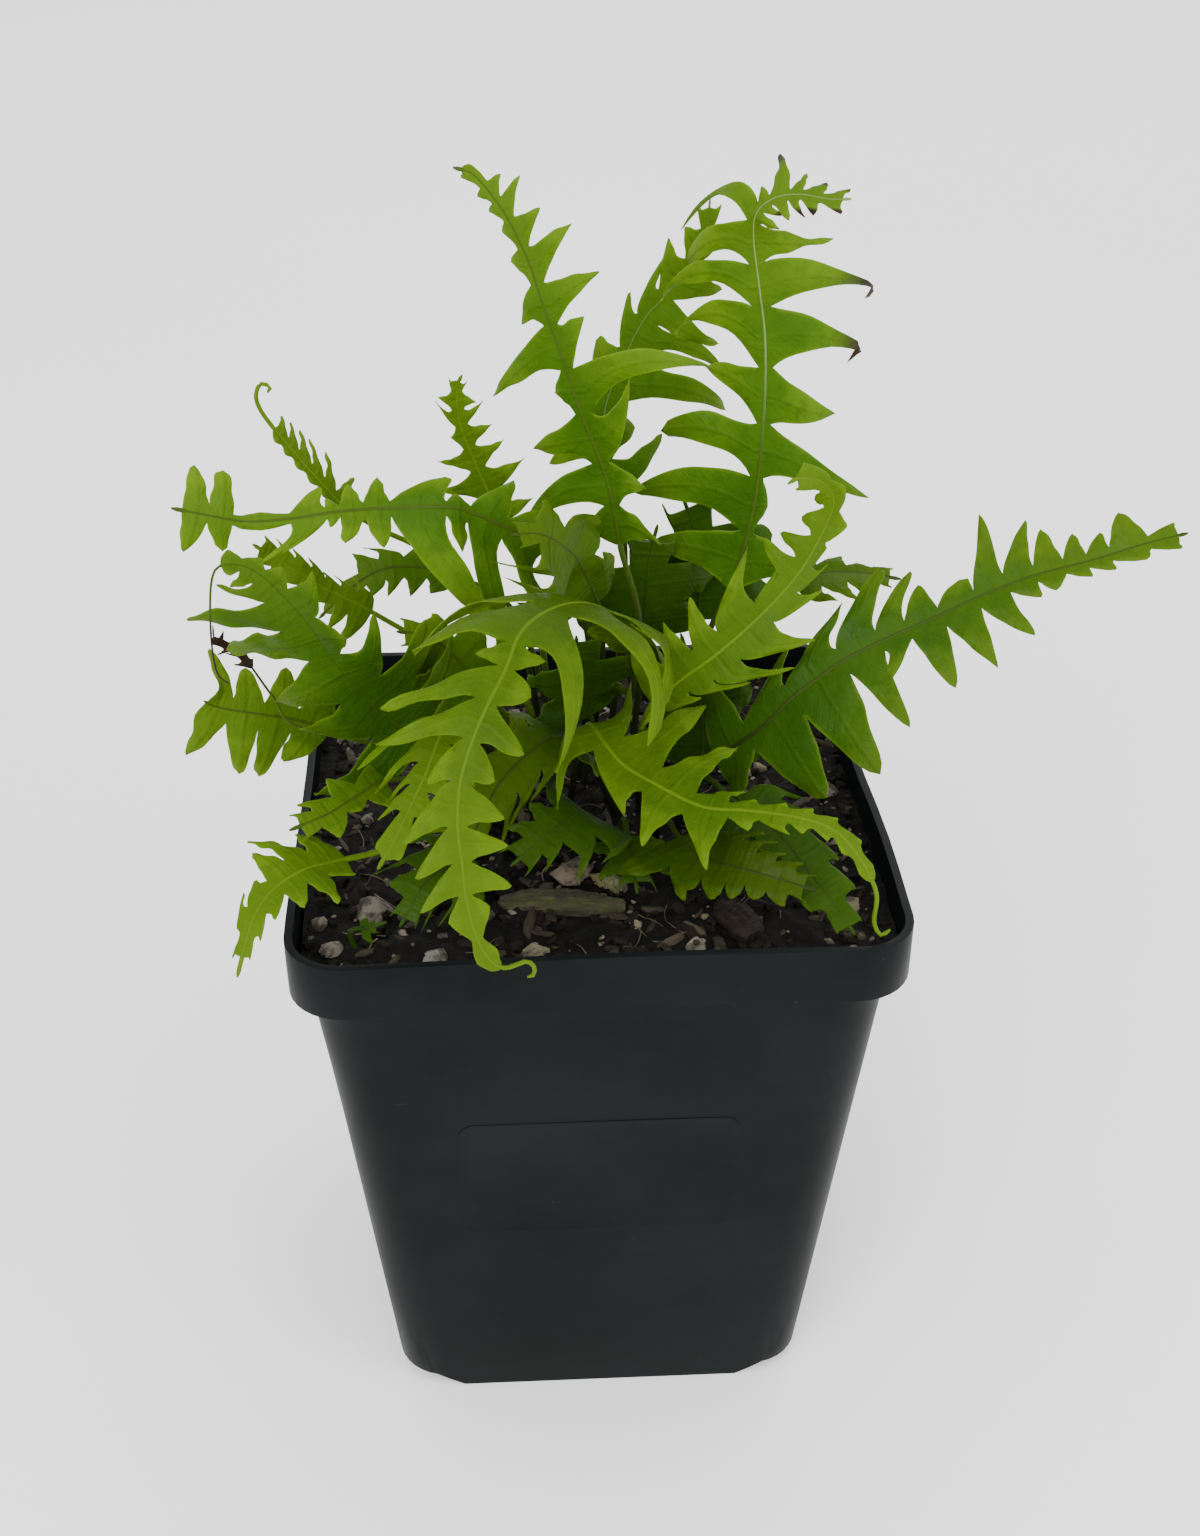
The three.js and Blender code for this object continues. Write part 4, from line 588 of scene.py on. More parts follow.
        "left": [[6, 10], [6, 25], [4, 45]],
        "right": [[6, 0], [6, 20], [4, 45]],
        "fold": 5, "droop": 10, "web": 0.4, "taper": 0.5,
    },
    {
        "name": "frond_sprout", "tone": "shaded",
        "route": [
            [-38.5, -38, 97], [-41, -38, 105.5], [-40.5, -38, 107], [-38, -37.5, 107], [-35, -37.5, 108],
        ],
        "face": [-1, -0.3, 0.7], "faceEnd": [0, -0.6, 1],
        "bases": [12, 13.5, 14.5],
        "left": [[1.5, 20], [1, 50]],
        "right": [[2.5, 20], [1.5, 50]],
        "droop": 0, "waist": 1, "taper": 0.5,
    },
    {
        "name": "frond_under_arch", "tone": "mature", "paintedLight": 0.8,
        "route": [
            [-4, 3, 97], [-2.5, -3, 118.5], [-4.5, -8, 124.5], [-7, -13, 127.5], [-11.5, -18, 127],
            [-16, -21, 123.5], [-19, -23.5, 119], [-21, -25, 115],
        ],
        "face": [0.5, 0.5, 1], "faceEnd": [0, -0.7, 0.8],
        "bases": [30.5, 38, 44, 49.5, 55, 59.5],
        "left": [[10, 10], [11, 55], [11, 55], [9, 55], [3, 50]],
        "right": [[10, 0], [8, -20], [5, 15], [8, 5], [3, 50]],
        "droop": 20, "waist": 0.92,
    },
    {
        "name": "frond_left_behind", "tone": "mature",
        "route": [
            [-4, 8, 97], [-14, 3, 121.5], [-19.5, -2, 132.5], [-23.5, -6, 140.5], [-27.5, -9, 145.5],
            [-32, -12, 148],
        ],
        "face": [0, -0.6, 0.9], "faceEnd": [-0.2, -0.8, 0.6],
        "bases": [34.5, 43.5, 51.5, 58, 61.5],
        "left": [[9, 10], [9, 5], [10, 30], [3, 50]],
        "right": [[10, 5], [10, 40], [4, 25], [3, 50]],
        "droop": 20, "web": 0.4, "taper": 0.5,
    },
    {
        "name": "frond_middle_dark", "tone": "shaded",
        "route": [[-2, 9, 97], [1, 9, 114.5], [-0.5, 8, 122.5], [-1.5, 6, 130.5], [-2, 4, 137.5]],
        "face": [0, -0.5, 1], "faceEnd": [0, -0.8, 0.6],
        "bases": [22, 28, 34.5, 40],
        "left": [[10, 0], [9, 10], [6, 50]],
        "right": [[8, -15], [13, -10], [6, 45]],
        "web": 0.5, "taper": 0.5,
    },
    {
        "name": "frond_right_dark", "tone": "shaded",
        "route": [[18, 1, 97], [20, 2, 112], [20, 3, 122], [18, 3, 131], [16, 3, 138]],
        "face": [-0.1, -0.8, 0.6], "faceEnd": [0, -0.9, 0.3],
        "bases": [15, 23, 32, 38],
        "left": [[10, 10], [9, 20], [6, 45]],
        "right": [[10, -10], [9, 0], [5, 45]],
        "fold": 5, "web": 0.5, "taper": 0.5,
    },
]

# Fronds: the same rib and lobe formulas as the part's source, with many more rows and columns
frondDetail = {
    "bladeThickness": 0.34,
    "rows": 13,
    "columns": 10,
    "webRows": 3,
    "smallLobe": 6,
    "smallRows": 7,
    "smallColumns": 6,
    "rowPower": 1.15,
    "ribSides": 10,
    "ribStep": 0.9,
    "stalkRadius": 0.95,
    "stalkForm": (0.8, 0.85),
    "ribForm": (0.5, 0.7),
    "keel": 0.9,
    "leastWing": 0.3,
    "mostWing": 0.75,
    "notchShare": 0.8,
    "notchLeast": 0.2,
    "innerShare": 0.3,
    "shoulder": 0.07,
    "leanPower": 1.3,
    "edgeWave": 0.3,
    "edgeRipple": 0.05,
    "edgeThinning": 0.55,
    "edgeFall": 0.08,
    "curlFrom": 0.72,
    "curlLength": 1.22,
    "mapScale": 20,
}


def ribOf(plan):
    # a smooth line through the route, and the way the blade faces along it
    points = [Vector(p) for p in plan["route"]]
    count = len(points)
    face, faceEnd = Vector(plan["face"]), Vector(plan["faceEnd"])

    def pointAt(t):
        p = (count - 1) * clamp(t)
        i = min(int(p), count - 2)
        w = p - i
        before = points[i - 1] if i > 0 else points[0] * 2 - points[1]
        after = points[i + 2] if i + 2 < count else points[-1] * 2 - points[-2]
        a, b = points[i], points[i + 1]
        start, end = (b - before) * 0.5, (after - a) * 0.5
        return a + start * w + (b * 3 - a * 3 - start * 2 - end) * w**2 + (a * 2 - b * 2 + start + end) * w**3

    steps = 200
    places = [pointAt(i / steps) for i in range(steps + 1)]
    lengths = [0]
    for a, b in zip(places, places[1:]):
        lengths.append(lengths[-1] + (b - a).length)
    length = lengths[-1]

    def at(distance):
        u = clamp(distance / length)
        wanted = u * length
        k = min(bisect_right(lengths, wanted) - 1, steps - 1)
        t = (k + (wanted - lengths[k]) / max(lengths[k + 1] - lengths[k], 1e-9)) / steps
        forward = (pointAt(t + 1e-4) - pointAt(t - 1e-4)).normalized()
        place = pointAt(t) + forward * (distance - wanted)
        up = face.lerp(faceEnd, u)
        up = (up - forward * up.dot(forward)).normalized()
        return place, forward, up, forward.cross(up)

    return at, length


def buildFrond(plan, seed):
    plan = {**frondShape, **plan}
    at, length = ribOf(plan)
    d = frondDetail
    bases = plan["bases"]
    last = len(bases) - 1
    half = d["bladeThickness"] / 2
    fold = math.radians(plan["fold"])
    dice = random.Random(seed)
    bm = bmesh.new()
    uvLayer = bm.loops.layers.uv.new("leafMap")
    toneLayer = bm.verts.layers.float_color.new("leafTone")
    marginLayer = bm.verts.layers.float.new("margin")
    # painted light and shade: one brightness factor for the whole frond, kept on every vertex
    paintedLightLayer = bm.verts.layers.float.new("paintedLight")
    uvs = {}

    def radiusAt(b):
        return d["stalkRadius"] + (plan["tipRadius"] - d["stalkRadius"]) * clamp(b / length) ** 0.6

    def witherAt(b):
        return clamp((b / length - plan["witherFrom"]) * 8)

    def bladePoint(frameAt, side, onward, out, face, thin, bend, reach, rise, hook):
        # across the blade a lobe bends along an arc, and hook is what a curled tip adds to it
        place, forward, up, right = at(frameAt)
        turn = bend / max(reach, 1)
        angle = fold - turn * out
        if abs(turn) < 1e-5:
            across, lift = out * math.cos(fold), out * math.sin(fold)
        else:
            across = (math.sin(fold) - math.sin(angle)) / turn
            lift = (math.cos(angle) - math.cos(fold)) / turn
        across, lift, angle = across + hook[0], lift + hook[1], angle - hook[2]
        depth = face * half * thin + rise
        sideways = right * side * (across - depth * math.sin(angle))
        return place + forward * onward + sideways + up * (lift + depth * math.cos(angle))

    def addVertex(point, uv, tone, margin=0):
        v = bm.verts.new(point * mm)
        v[toneLayer] = tone
        v[marginLayer] = margin
        v[paintedLightLayer] = plan["paintedLight"]
        uvs[v] = uv
        return v

    # the rib and its stalk
    count = max(6, int(length / d["ribStep"]))
    sides = d["ribSides"]
    rings = []
    for i in range(count + 1):
        along = length * i / count
        place, forward, up, right = at(along)
        bare = along < bases[0] or along > bases[last]
        crest, width = d["stalkForm"] if bare else d["ribForm"]
        radius = radiusAt(along) * (0.5 if i == count else 1)
        tone = (along / length, 0, plan["paleRib"], witherAt(along))
        ring = []
        for k in range(sides):
            angle = 2 * math.pi * k / sides
            height = math.sin(angle)
            offset = up * height * radius * (crest if height > 0 else d["keel"])
            offset += right * math.cos(angle) * radius * width
            ring.append(addVertex(place + offset, (0.5, along / d["mapScale"]), tone))
        rings.append(ring)
    for a, b in zip(rings, rings[1:]):
        for k in range(sides):
            bm.faces.new((a[k], a[(k + 1) % sides], b[(k + 1) % sides], b[k]))
    bm.faces.new(rings[0][::-1])
    bm.faces.new(rings[-1])

    # the lobes
    for side, lobes in ((1, plan["right"]), (-1, plan["left"])):
        wing = [radiusAt(bases[i]) + d["leastWing"] + plan["web"] * lobes[i][0] for i in range(last)]
        sinus = [radiusAt(bases[0])]
        sinus += [d["notchShare"] * min(wing[i - 1], wing[i]) + d["notchLeast"] for i in range(1, last)]
        sinus.append(radiusAt(bases[last]))
        for i, lobe in enumerate(lobes):
            shared = [plan[key] for key in ("droop", "arch", "waist", "taper")]
            size, lean, droop, arch, waist, taper = lobe + shared[len(lobe) - 2:]
            lean, bend = math.radians(lean), math.radians(droop)
            curl = math.radians(plan["curl"].get((side, i), 0))
            dry = plan["dry"].get((side, i), 0)
            if curl:
                size *= d["curlLength"]
            middle = (bases[i] + bases[i + 1]) / 2
            halfBase = (bases[i + 1] - bases[i]) / 2
            reach = size * math.cos(lean) + radiusAt(middle)
            onward = size * math.sin(lean)
            lobeWing = min(wing[i], d["mostWing"] * reach)
            inner = radiusAt(middle) * d["innerShare"]
            waver = dice.uniform(0, 6.28)
            beats = dice.uniform(1.4, 2.6)
            liveliness = d["edgeWave"] * min(size / 8, 1.6) * dice.uniform(0.6, 1.2)
            hue = dice.random()
            small = size < d["smallLobe"]
            rows = d["smallRows"] if small else d["rows"]
            columns = d["smallColumns"] if small else d["columns"]
            web = d["webRows"]
            hook = (0, 0, 0)
            grid = []
            before = 0
            for k in range(-web, rows + 1):
                share = max(k / rows, 0) ** d["rowPower"]
                # a curled tip: past curlFrom each row turns further down than the arc does
                if curl and share > d["curlFrom"]:
                    step = (reach - lobeWing) * (share - before)
                    turned = curl * (share - d["curlFrom"]) / (1 - d["curlFrom"])
                    arc = fold - bend * share * 1.6
                    hook = (
                        hook[0] + step * (math.cos(arc - turned) - math.cos(arc)),
                        hook[1] + step * (math.sin(arc - turned) - math.sin(arc)),
                        turned,
                    )
                before = share
                settle = math.exp(-share / d["shoulder"])
                rising = min(share * 3, 1)
                follow = 1 - min(share * 2, 1)
                top, low = [], []
                for c in range(columns + 1):
                    edge = c / columns * 2 - 1
                    ends = sinus[i] * (1 - edge) / 2 + sinus[i + 1] * (1 + edge) / 2
                    if k < 0:
                        rounding = (1 - edge**2) * (lobeWing - ends)
                        out = inner + (ends + rounding - inner) * (k + web) / web
                        away, width, thin = edge * halfBase, halfBase, 1
                    else:
                        out = lobeWing + (reach - lobeWing) * share - (lobeWing - ends) * edge**2 * settle
                        width = halfBase * (waist * (1 - share) ** taper * (1 - settle) + settle)
                        if k == rows:
                            width = 0
                        ripple = math.sin(waver + edge * 2 + share * 9) * (1 - share) * min(share * 4, 1)
                        away = edge * width * (1 + d["edgeRipple"] * ripple)
                        thin = 1 - d["edgeThinning"] * abs(edge) ** 5 * min(share * 5, 1)
                    frameAt = middle + away * follow
                    bulge = arch * size * 4 * share * (1 - share)
                    ahead = onward * share ** d["leanPower"] + bulge + away * (1 - follow)
                    wave = liveliness * edge * abs(edge) * math.sin(waver + share * beats * 5)
                    rise = (wave - d["edgeFall"] * width * edge**2) * rising
                    uv = (0.5 + edge * width / d["mapScale"], size * share / d["mapScale"] + i * 0.37)
                    dried = min(max(dry * share**1.5, witherAt(middle)), 1)
                    tone = (frameAt / length, 0.2 + 0.8 * share, hue, dried)
                    place = (frameAt, side, ahead, out)
                    shape = (thin, bend * share, reach, rise, hook)
                    margin = abs(edge) if k > 0 else 0
                    top.append(addVertex(bladePoint(*place, 1, *shape), uv, tone, margin))
                    low.append(addVertex(bladePoint(*place, -1, *shape), uv, tone, margin))
                grid.append((top, low))

            def quad(a, b, c, d):
                bm.faces.new((a, d, c, b) if side == 1 else (a, b, c, d))

            for j, ((aTop, aLow), (bTop, bLow)) in enumerate(zip(grid, grid[1:])):
                for c in range(columns):
                    quad(aTop[c], bTop[c], bTop[c + 1], aTop[c + 1])
                    quad(aLow[c], aLow[c + 1], bLow[c + 1], bLow[c])
                # within the web, neighbouring lobes run into each other and need no side faces
                if j >= web or i == 0:
                    quad(aTop[0], aLow[0], bLow[0], bTop[0])
                if j >= web or i + 1 == last:
                    quad(aTop[-1], bTop[-1], bLow[-1], aLow[-1])
            (footTop, footLow), (tipTop, tipLow) = grid[0], grid[-1]
            for c in range(columns):
                quad(footTop[c], footTop[c + 1], footLow[c + 1], footLow[c])
                quad(tipTop[c], tipLow[c], tipLow[c + 1], tipTop[c + 1])

    mesh = bpy.data.meshes.new(plan["name"])
    for f in bm.faces:
        for loop in f.loops:
            loop[uvLayer].uv = uvs[loop.vert]
    bmesh.ops.remove_doubles(bm, verts=bm.verts, dist=0.00002)
    bmesh.ops.recalc_face_normals(bm, faces=bm.faces)
    bm.to_mesh(mesh)
    bm.free()
    piece = bpy.data.objects.new(plan["name"] + "_leaf", mesh)
    bpy.context.collection.objects.link(piece)
    return piece


# Leaf materials, one for each stage of growth; the shaded one is the old fronds' green darkened as painted shade
# for fronds in the crown's shadow
# each look's inner amount is the painted shade that darkens a frond towards its foot, inside the crown
leafLooks = {
    "young": {
        "deep": (0.026, 0.060, 0.0008), "bright": (0.062, 0.120, 0.0010), "tip": (0.080, 0.144, 0.0018),
        "rib": (0.066, 0.120, 0.0035), "stalk": (0.066, 0.120, 0.0035), "gloss": 0.45, "inner": 0.15,
    },
    "mature": {
        "deep": (0.016, 0.050, 0.0012), "bright": (0.056, 0.110, 0.0018), "tip": (0.078, 0.138, 0.0030),
        "rib": (0.030, 0.054, 0.0050), "stalk": (0.030, 0.054, 0.0050), "gloss": 0.42, "inner": 0.6,
    },
    # painted shade: a darker copy of the green for fronds lying low in the crown's shadow
    "shaded": {
        "deep": (0.009, 0.028, 0.0014), "bright": (0.026, 0.062, 0.0030), "tip": (0.036, 0.076, 0.0040),
        "rib": (0.020, 0.046, 0.0040), "stalk": (0.016, 0.034, 0.0030), "gloss": 0.40, "inner": 0.3,
    },
    "withered": {
        "deep": (0.007, 0.005, 0.003), "bright": (0.022, 0.017, 0.006), "tip": (0.012, 0.007, 0.004),
        "rib": (0.020, 0.014, 0.007), "stalk": (0.040, 0.070, 0.006), "gloss": 0.7, "inner": 0,
    },
}
stalkFoot = (0.008, 0.010, 0.003)
paleRibColour = (0.105, 0.165, 0.050)
driedColours = ((0.008, 0.004, 0.003), (0.030, 0.016, 0.007))


def leafMaterial(stage):
    look = leafLooks[stage]
    book = NodeBook(stage + " leaf")
    place = book.coordinates()
    leafTone = book.add("ShaderNodeVertexColor", layer_name="leafTone")
    parts = book.add("ShaderNodeSeparateColor", {"Color": leafTone.outputs["Color"]})
    along, share, hue = parts.outputs["Red"], parts.outputs["Green"], parts.outputs["Blue"]
    dry = leafTone.outputs["Alpha"]

    # clouded green, deeper near the rib, darker towards the frond's foot as painted shade inside the crown, and
    # paler at tips and margins
    broad = book.noise(place, 75)
    mottle = book.noise(place, 420, 4, 0.6)
    base = book.mix(book.fade(broad, 0.3, 0.7), look["deep"], look["bright"])
    layers = [
        (book.math("MULTIPLY", hue, 0.35), "bright"),
        (book.fade(mottle, 0.42, 0.72, 0, 0.6), "deep"),
        (book.fade(share, 0.2, 0.55, 0.55, 0), "deep"),
        (book.fade(share, 0.45, 1.0, 0, 0.6), "tip"),
        (book.fade(along, 0.55, 1.0, 0, 0.45), "tip"),
        # painted shade: darker towards the frond's foot, inside the crown
        (book.fade(along, 0.35, 0.7, look["inner"], 0), "deep"),
        (book.fade(book.attribute("margin"), 0.86, 1.0, 0, 0.5, False), "tip"),
    ]
    for factor, tone in layers:
        base = book.mix(factor, base, look[tone])

    # veins: a middle one in each lobe, and finer ones that leave it slantwise
    leafMap = book.add("ShaderNodeUVMap", uv_map="leafMap").outputs["UV"]
    split = book.add("ShaderNodeSeparateXYZ", {"Vector": leafMap})
    fromMiddle = book.math("ABSOLUTE", book.math("SUBTRACT", split.outputs["X"], 0.5))
    middle = book.ramp(fromMiddle, [(0.0, grey(1)), (0.012, grey(0.7)), (0.028, grey(0))])
    slant = book.math("SUBTRACT", split.outputs["Y"], book.math("MULTIPLY", fromMiddle, 1.3))
    waves = book.math("SINE", book.math("MULTIPLY", slant, 62))
    fineVeins = book.mix(0.35, grey(0), book.fade(waves, 0.55, 0.95, 0, 0.8))
    blade = book.fade(share, 0.1, 0.2, 0, 1, False)
    veins = book.mix(1.0, book.mix(1.0, middle, fineVeins, "ADD"), blade, "MULTIPLY")
    base = book.mix(book.math("MULTIPLY", veins, 0.12), base, look["rib"])

    # the rib and stalk, then each frond's brightness factor, painted shade on fronds low in and under the crown and
    # painted light on the tall ones besides their own tone, and brown where it has dried
    stalk = book.ramp(along, [(0.15, stalkFoot), (0.45, look["stalk"]), (0.75, look["stalk"]), (0.9, look["rib"])])
    stalk = book.mix(book.math("MULTIPLY", hue, book.fade(along, 0.5, 0.7)), stalk, paleRibColour)
    base = book.mix(book.fade(share, 0.02, 0.09, 1, 0, False), base, stalk)
    base = book.mix(1.0, base, book.attribute("paintedLight"), "MULTIPLY")
    brown = book.ramp(mottle, [(0.3, driedColours[0]), (0.7, driedColours[1])])
    base = book.mix(book.fade(dry, 0.25, 0.6), base, brown)

    puckers = book.bump(book.noise(place, 260, 3, 0.5), 0.5, 0.0009)
    relief = book.bump(mottle, 0.3, 0.0004, puckers)
    return book.finish({
        "Base Color": base,
        "Roughness": book.fade(broad, 0.3, 0.7, look["gloss"] - 0.05, look["gloss"] + 0.1),
        "Normal": book.bump(veins, 0.5, 0.0002, relief),
        "Specular IOR Level": 0.06,
        "Subsurface Weight": 0.0 if stage == "withered" else 0.08,
        "Subsurface Radius": (0.0010, 0.0016, 0.0004),
        "Subsurface Scale": 1.0,
    })


# The pot: one tapering shell with a stepped-out band, raised corners below and a bare raised panel in front
potDetail = {
    "width": 102,
    "height": 109,
    "footWidth": 74.5,
    "bandHeight": 10.6,
    "bandFlare": 0.3,
    "bandStep": 0.5,
    "ledge": 3,
    "innerLedge": 0.8,
    "wall": 1.4,
    "footThickness": 4.8,
    "floorSpread": 2.5,
    "cornerRadius": 9,
    "cornerLift": 3,
    "liftStart": 30.5,
    "liftSlope": 5,
    "drainRadius": 3.5,
    "drainOffset": 28,
    "rimRounding": 0.35,
    "panelSize": (48.5, 27.5),
    "panelHeight": 56.5,
    "panelOffset": -0.5,
    "panelProud": 0.1,
    "panelCorner": 3,
    "rightBow": 2.0,
    "leftBow": 0.5,
    "rimWander": 0.35,
    "rimSway": 0.25,
    "cutStep": 9.3,
    "cutLevels": (20, 40, 60, 80, 92, 104),
}


def topFaces(level):
    return lambda f: f.normal.z > 0.9 and abs(f.calc_center_median().z - level * mm) < 0.0001


def scaleSelected(share):
    bpy.ops.transform.resize(value=(share, share, 1), center_override=(0, 0, 0))


def extrudeTop(rise, share):
    bpy.ops.mesh.extrude_region_move(TRANSFORM_OT_translate={"value": (0, 0, rise * mm)})
    scaleSelected(share)


def cutAway(piece, cutter):
    modifier = piece.modifiers.new("cut", "BOOLEAN")
    modifier.operation = "DIFFERENCE"
    modifier.solver = "EXACT"
    modifier.object = cutter
    applyAll(piece)
    bpy.data.objects.remove(cutter, do_unlink=True)


def cornerCutter(sx, sy):
    # a block below the corner, drawn in at its foot so that its inner sides slope
    far, start = 60, potDetail["liftStart"]
    deselectAll()
    bpy.ops.mesh.primitive_cube_add(size=1, location=(0, 0, 0))
    cutter = bpy.context.object
    cutter.scale = ((far - start) * mm, (far - start) * mm, 2 * potDetail["cornerLift"] * mm)
    cutter.location = (sx * (far + start) / 2 * mm, sy * (far + start) / 2 * mm, 0)
    placeInMesh(cutter)
    bm = openMesh(cutter)
    for v in bm.verts:
        if v.co.z < 0 and abs(v.co.x) < 40 * mm:
            v.co.x -= sx * 2 * potDetail["liftSlope"] * mm
        if v.co.z < 0 and abs(v.co.y) < 40 * mm:
            v.co.y -= sy * 2 * potDetail["liftSlope"] * mm
    closeMesh(cutter)
    return cutter


def makePanel(slant, wallAt):
    d = potDetail
    deselectAll()
    bpy.ops.mesh.primitive_cube_add(size=1)
    panel = bpy.context.object
    panel.scale = (d["panelSize"][0] * mm, 2 * d["panelProud"] * mm, d["panelSize"][1] * mm)
    bpy.ops.object.transform_apply(location=False, rotation=False, scale=True)
    bpy.ops.object.mode_set(mode="EDIT")
    selectWhere(lambda e: abs(e.verts[0].co.y - e.verts[1].co.y) > 0.0001, "EDGE")
    bpy.ops.mesh.bevel(offset=d["panelCorner"] * mm, segments=6, profile=0.5)
    selectWhere(lambda f: f.normal.y < -0.9)
    bpy.ops.mesh.inset(thickness=0.35 * mm, depth=0)
    bpy.ops.mesh.inset(thickness=0.45 * mm, depth=-0.06 * mm)
    bpy.ops.object.mode_set(mode="OBJECT")
    panel.rotation_euler = (slant, 0, 0)
    panel.location = (d["panelOffset"] * mm, wallAt * mm, d["panelHeight"] * mm)
    placeInMesh(panel)
    return panel


def makePot():
    d = potDetail
    bandFoot = d["height"] - d["bandHeight"]
    lowBand = d["width"] - d["bandFlare"]
    upper = lowBand - 2 * d["ledge"]
    deselectAll()
    bpy.ops.mesh.primitive_cube_add(size=1, location=(0, 0, bandFoot * mm / 2))
    pot = bpy.context.object
    pot.scale = (d["footWidth"] * mm, d["footWidth"] * mm, bandFoot * mm)
    placeInMesh(pot)
    bpy.ops.object.mode_set(mode="EDIT")
    selectWhere(topFaces(bandFoot))
    scaleSelected(upper / d["footWidth"])
    selectWhere(lambda e: abs(e.verts[0].co.z - e.verts[1].co.z) > 0.05, "EDGE")
    bpy.ops.mesh.bevel(offset=d["cornerRadius"] * mm, segments=8, profile=0.5)

    # the band outside, then down the inner walls to the floor
    selectWhere(topFaces(bandFoot))
    extrudeTop(d["bandStep"], lowBand / upper)
    extrudeTop(d["bandHeight"] - d["bandStep"], d["width"] / lowBand)
    innerTop, innerBand, innerUpper = [w - 2 * d["wall"] for w in (d["width"], lowBand, upper)]
    innerFoot = d["footWidth"] - 2 * d["wall"] + d["floorSpread"]
    bpy.ops.mesh.inset(thickness=d["wall"] * mm, depth=0)
    extrudeTop(-(d["bandHeight"] - d["wall"] - d["innerLedge"]), innerBand / innerTop)
    extrudeTop(-d["innerLedge"], innerUpper / innerBand)
    extrudeTop(-(bandFoot + d["wall"] - d["footThickness"]), innerFoot / innerUpper)

    # cuts that give the long walls points to bend by
    steps = [step * d["cutStep"] * mm for step in range(-4, 5)]
    cuts = [((s, 0, 0), (1, 0, 0)) for s in steps] + [((0, s, 0), (0, 1, 0)) for s in steps]
    cuts += [((0, 0, level * mm), (0, 0, 1)) for level in d["cutLevels"]]
    for spot, way in cuts:
        bpy.ops.mesh.select_all(action="SELECT")
        bpy.ops.mesh.bisect(plane_co=spot, plane_no=way)

    # the right wall sinks in a little near the rim, and the left and front walls waver a little
    bm = openMesh(pot)
    for v in bm.verts:
        x, y, z = v.co / mm
        high = clamp((z - 70) / 32) ** 1.5 * mm
        if x > 38:
            v.co.x -= d["rightBow"] * high * math.exp(-(((y - 14) / 24) ** 2))
        if x < -38:
            v.co.x += d["leftBow"] * high * math.sin(y / 19 + 0.8)
        if y < -38:
            v.co.y += d["rimWander"] * high * math.sin(x / 17 + 1.5)
            v.co.z += d["rimSway"] * high * math.sin(x / 24 + 0.4)
    closeMesh(pot)

    # raised corners and drain holes
    for sx, sy in ((-1, -1), (-1, 1), (1, -1), (1, 1)):
        cutAway(pot, cornerCutter(sx, sy))
        deselectAll()
        hole = (sx * d["drainOffset"] * mm, sy * d["drainOffset"] * mm, 0)
        bpy.ops.mesh.primitive_cylinder_add(vertices=32, radius=d["drainRadius"] * mm, depth=20 * mm, location=hole)
        drill = bpy.context.object
        placeInMesh(drill)
        cutAway(pot, drill)
    rounding = pot.modifiers.new("rounding", "BEVEL")
    rounding.width = d["rimRounding"] * mm
    rounding.segments = 3
    rounding.limit_method = "ANGLE"
    rounding.angle_limit = math.radians(35)
    applyAll(pot)

    slant = math.atan2((upper - d["footWidth"]) / 2, bandFoot)
    wallAt = -(d["footWidth"] / 2 + (upper - d["footWidth"]) / 2 * d["panelHeight"] / bandFoot)
    pot = joinAll([pot, makePanel(slant, wallAt)])
    smooth(pot, 40)
    return pot


def potMaterial():
    book = NodeBook("moulded black plastic")
    place = book.coordinates()
    cloud = book.noise(place, 28, 5, 0.6)
    base = book.ramp(cloud, [(0.3, (0.0030, 0.0040, 0.0040)), (0.7, (0.0056, 0.0070, 0.0071))])
    # pale rubs, long one way and thin the other, and specks of dust
    rubs = book.fade(book.noise(book.coordinates((60, 60, 900), (0.2, 0.9, 0.3)), 1, 3, 0.6), 0.70, 0.78)
    patch = book.fade(book.noise(place, 35, 3), 0.52, 0.62)
    specks = book.fade(book.noise(place, 620, 2, 0.4), 0.765, 0.80)
    marks = book.mix(1.0, book.mix(1.0, rubs, patch, "MULTIPLY"), specks, "ADD")
    wavy = book.bump(book.noise(place, 55, 2), 0.25, 0.0006)
    return book.finish({
        "Base Color": book.mix(book.math("MULTIPLY", marks, 0.25), base, (0.05, 0.054, 0.05)),
        "Roughness": book.fade(cloud, 0.3, 0.75, 0.40, 0.50),
        "Normal": book.bump(book.noise(place, 900, 3, 0.6), 0.12, 0.00006, wavy),
        "Specular IOR Level": 0.05,
    })


# What fills the pot
soilDetail = {
    "top": 103,
    "relief": 1.1,
    "half": 49.3,
    "cornerRadius": 8.4,
    "cells": 180,
    "levels": [(100.4, 46.2), (99.0, 46.1), (5.0, 36.6)],
    "lumps": [(7, 0.7), (2.6, 0.75), (1.1, 0.45)],
}

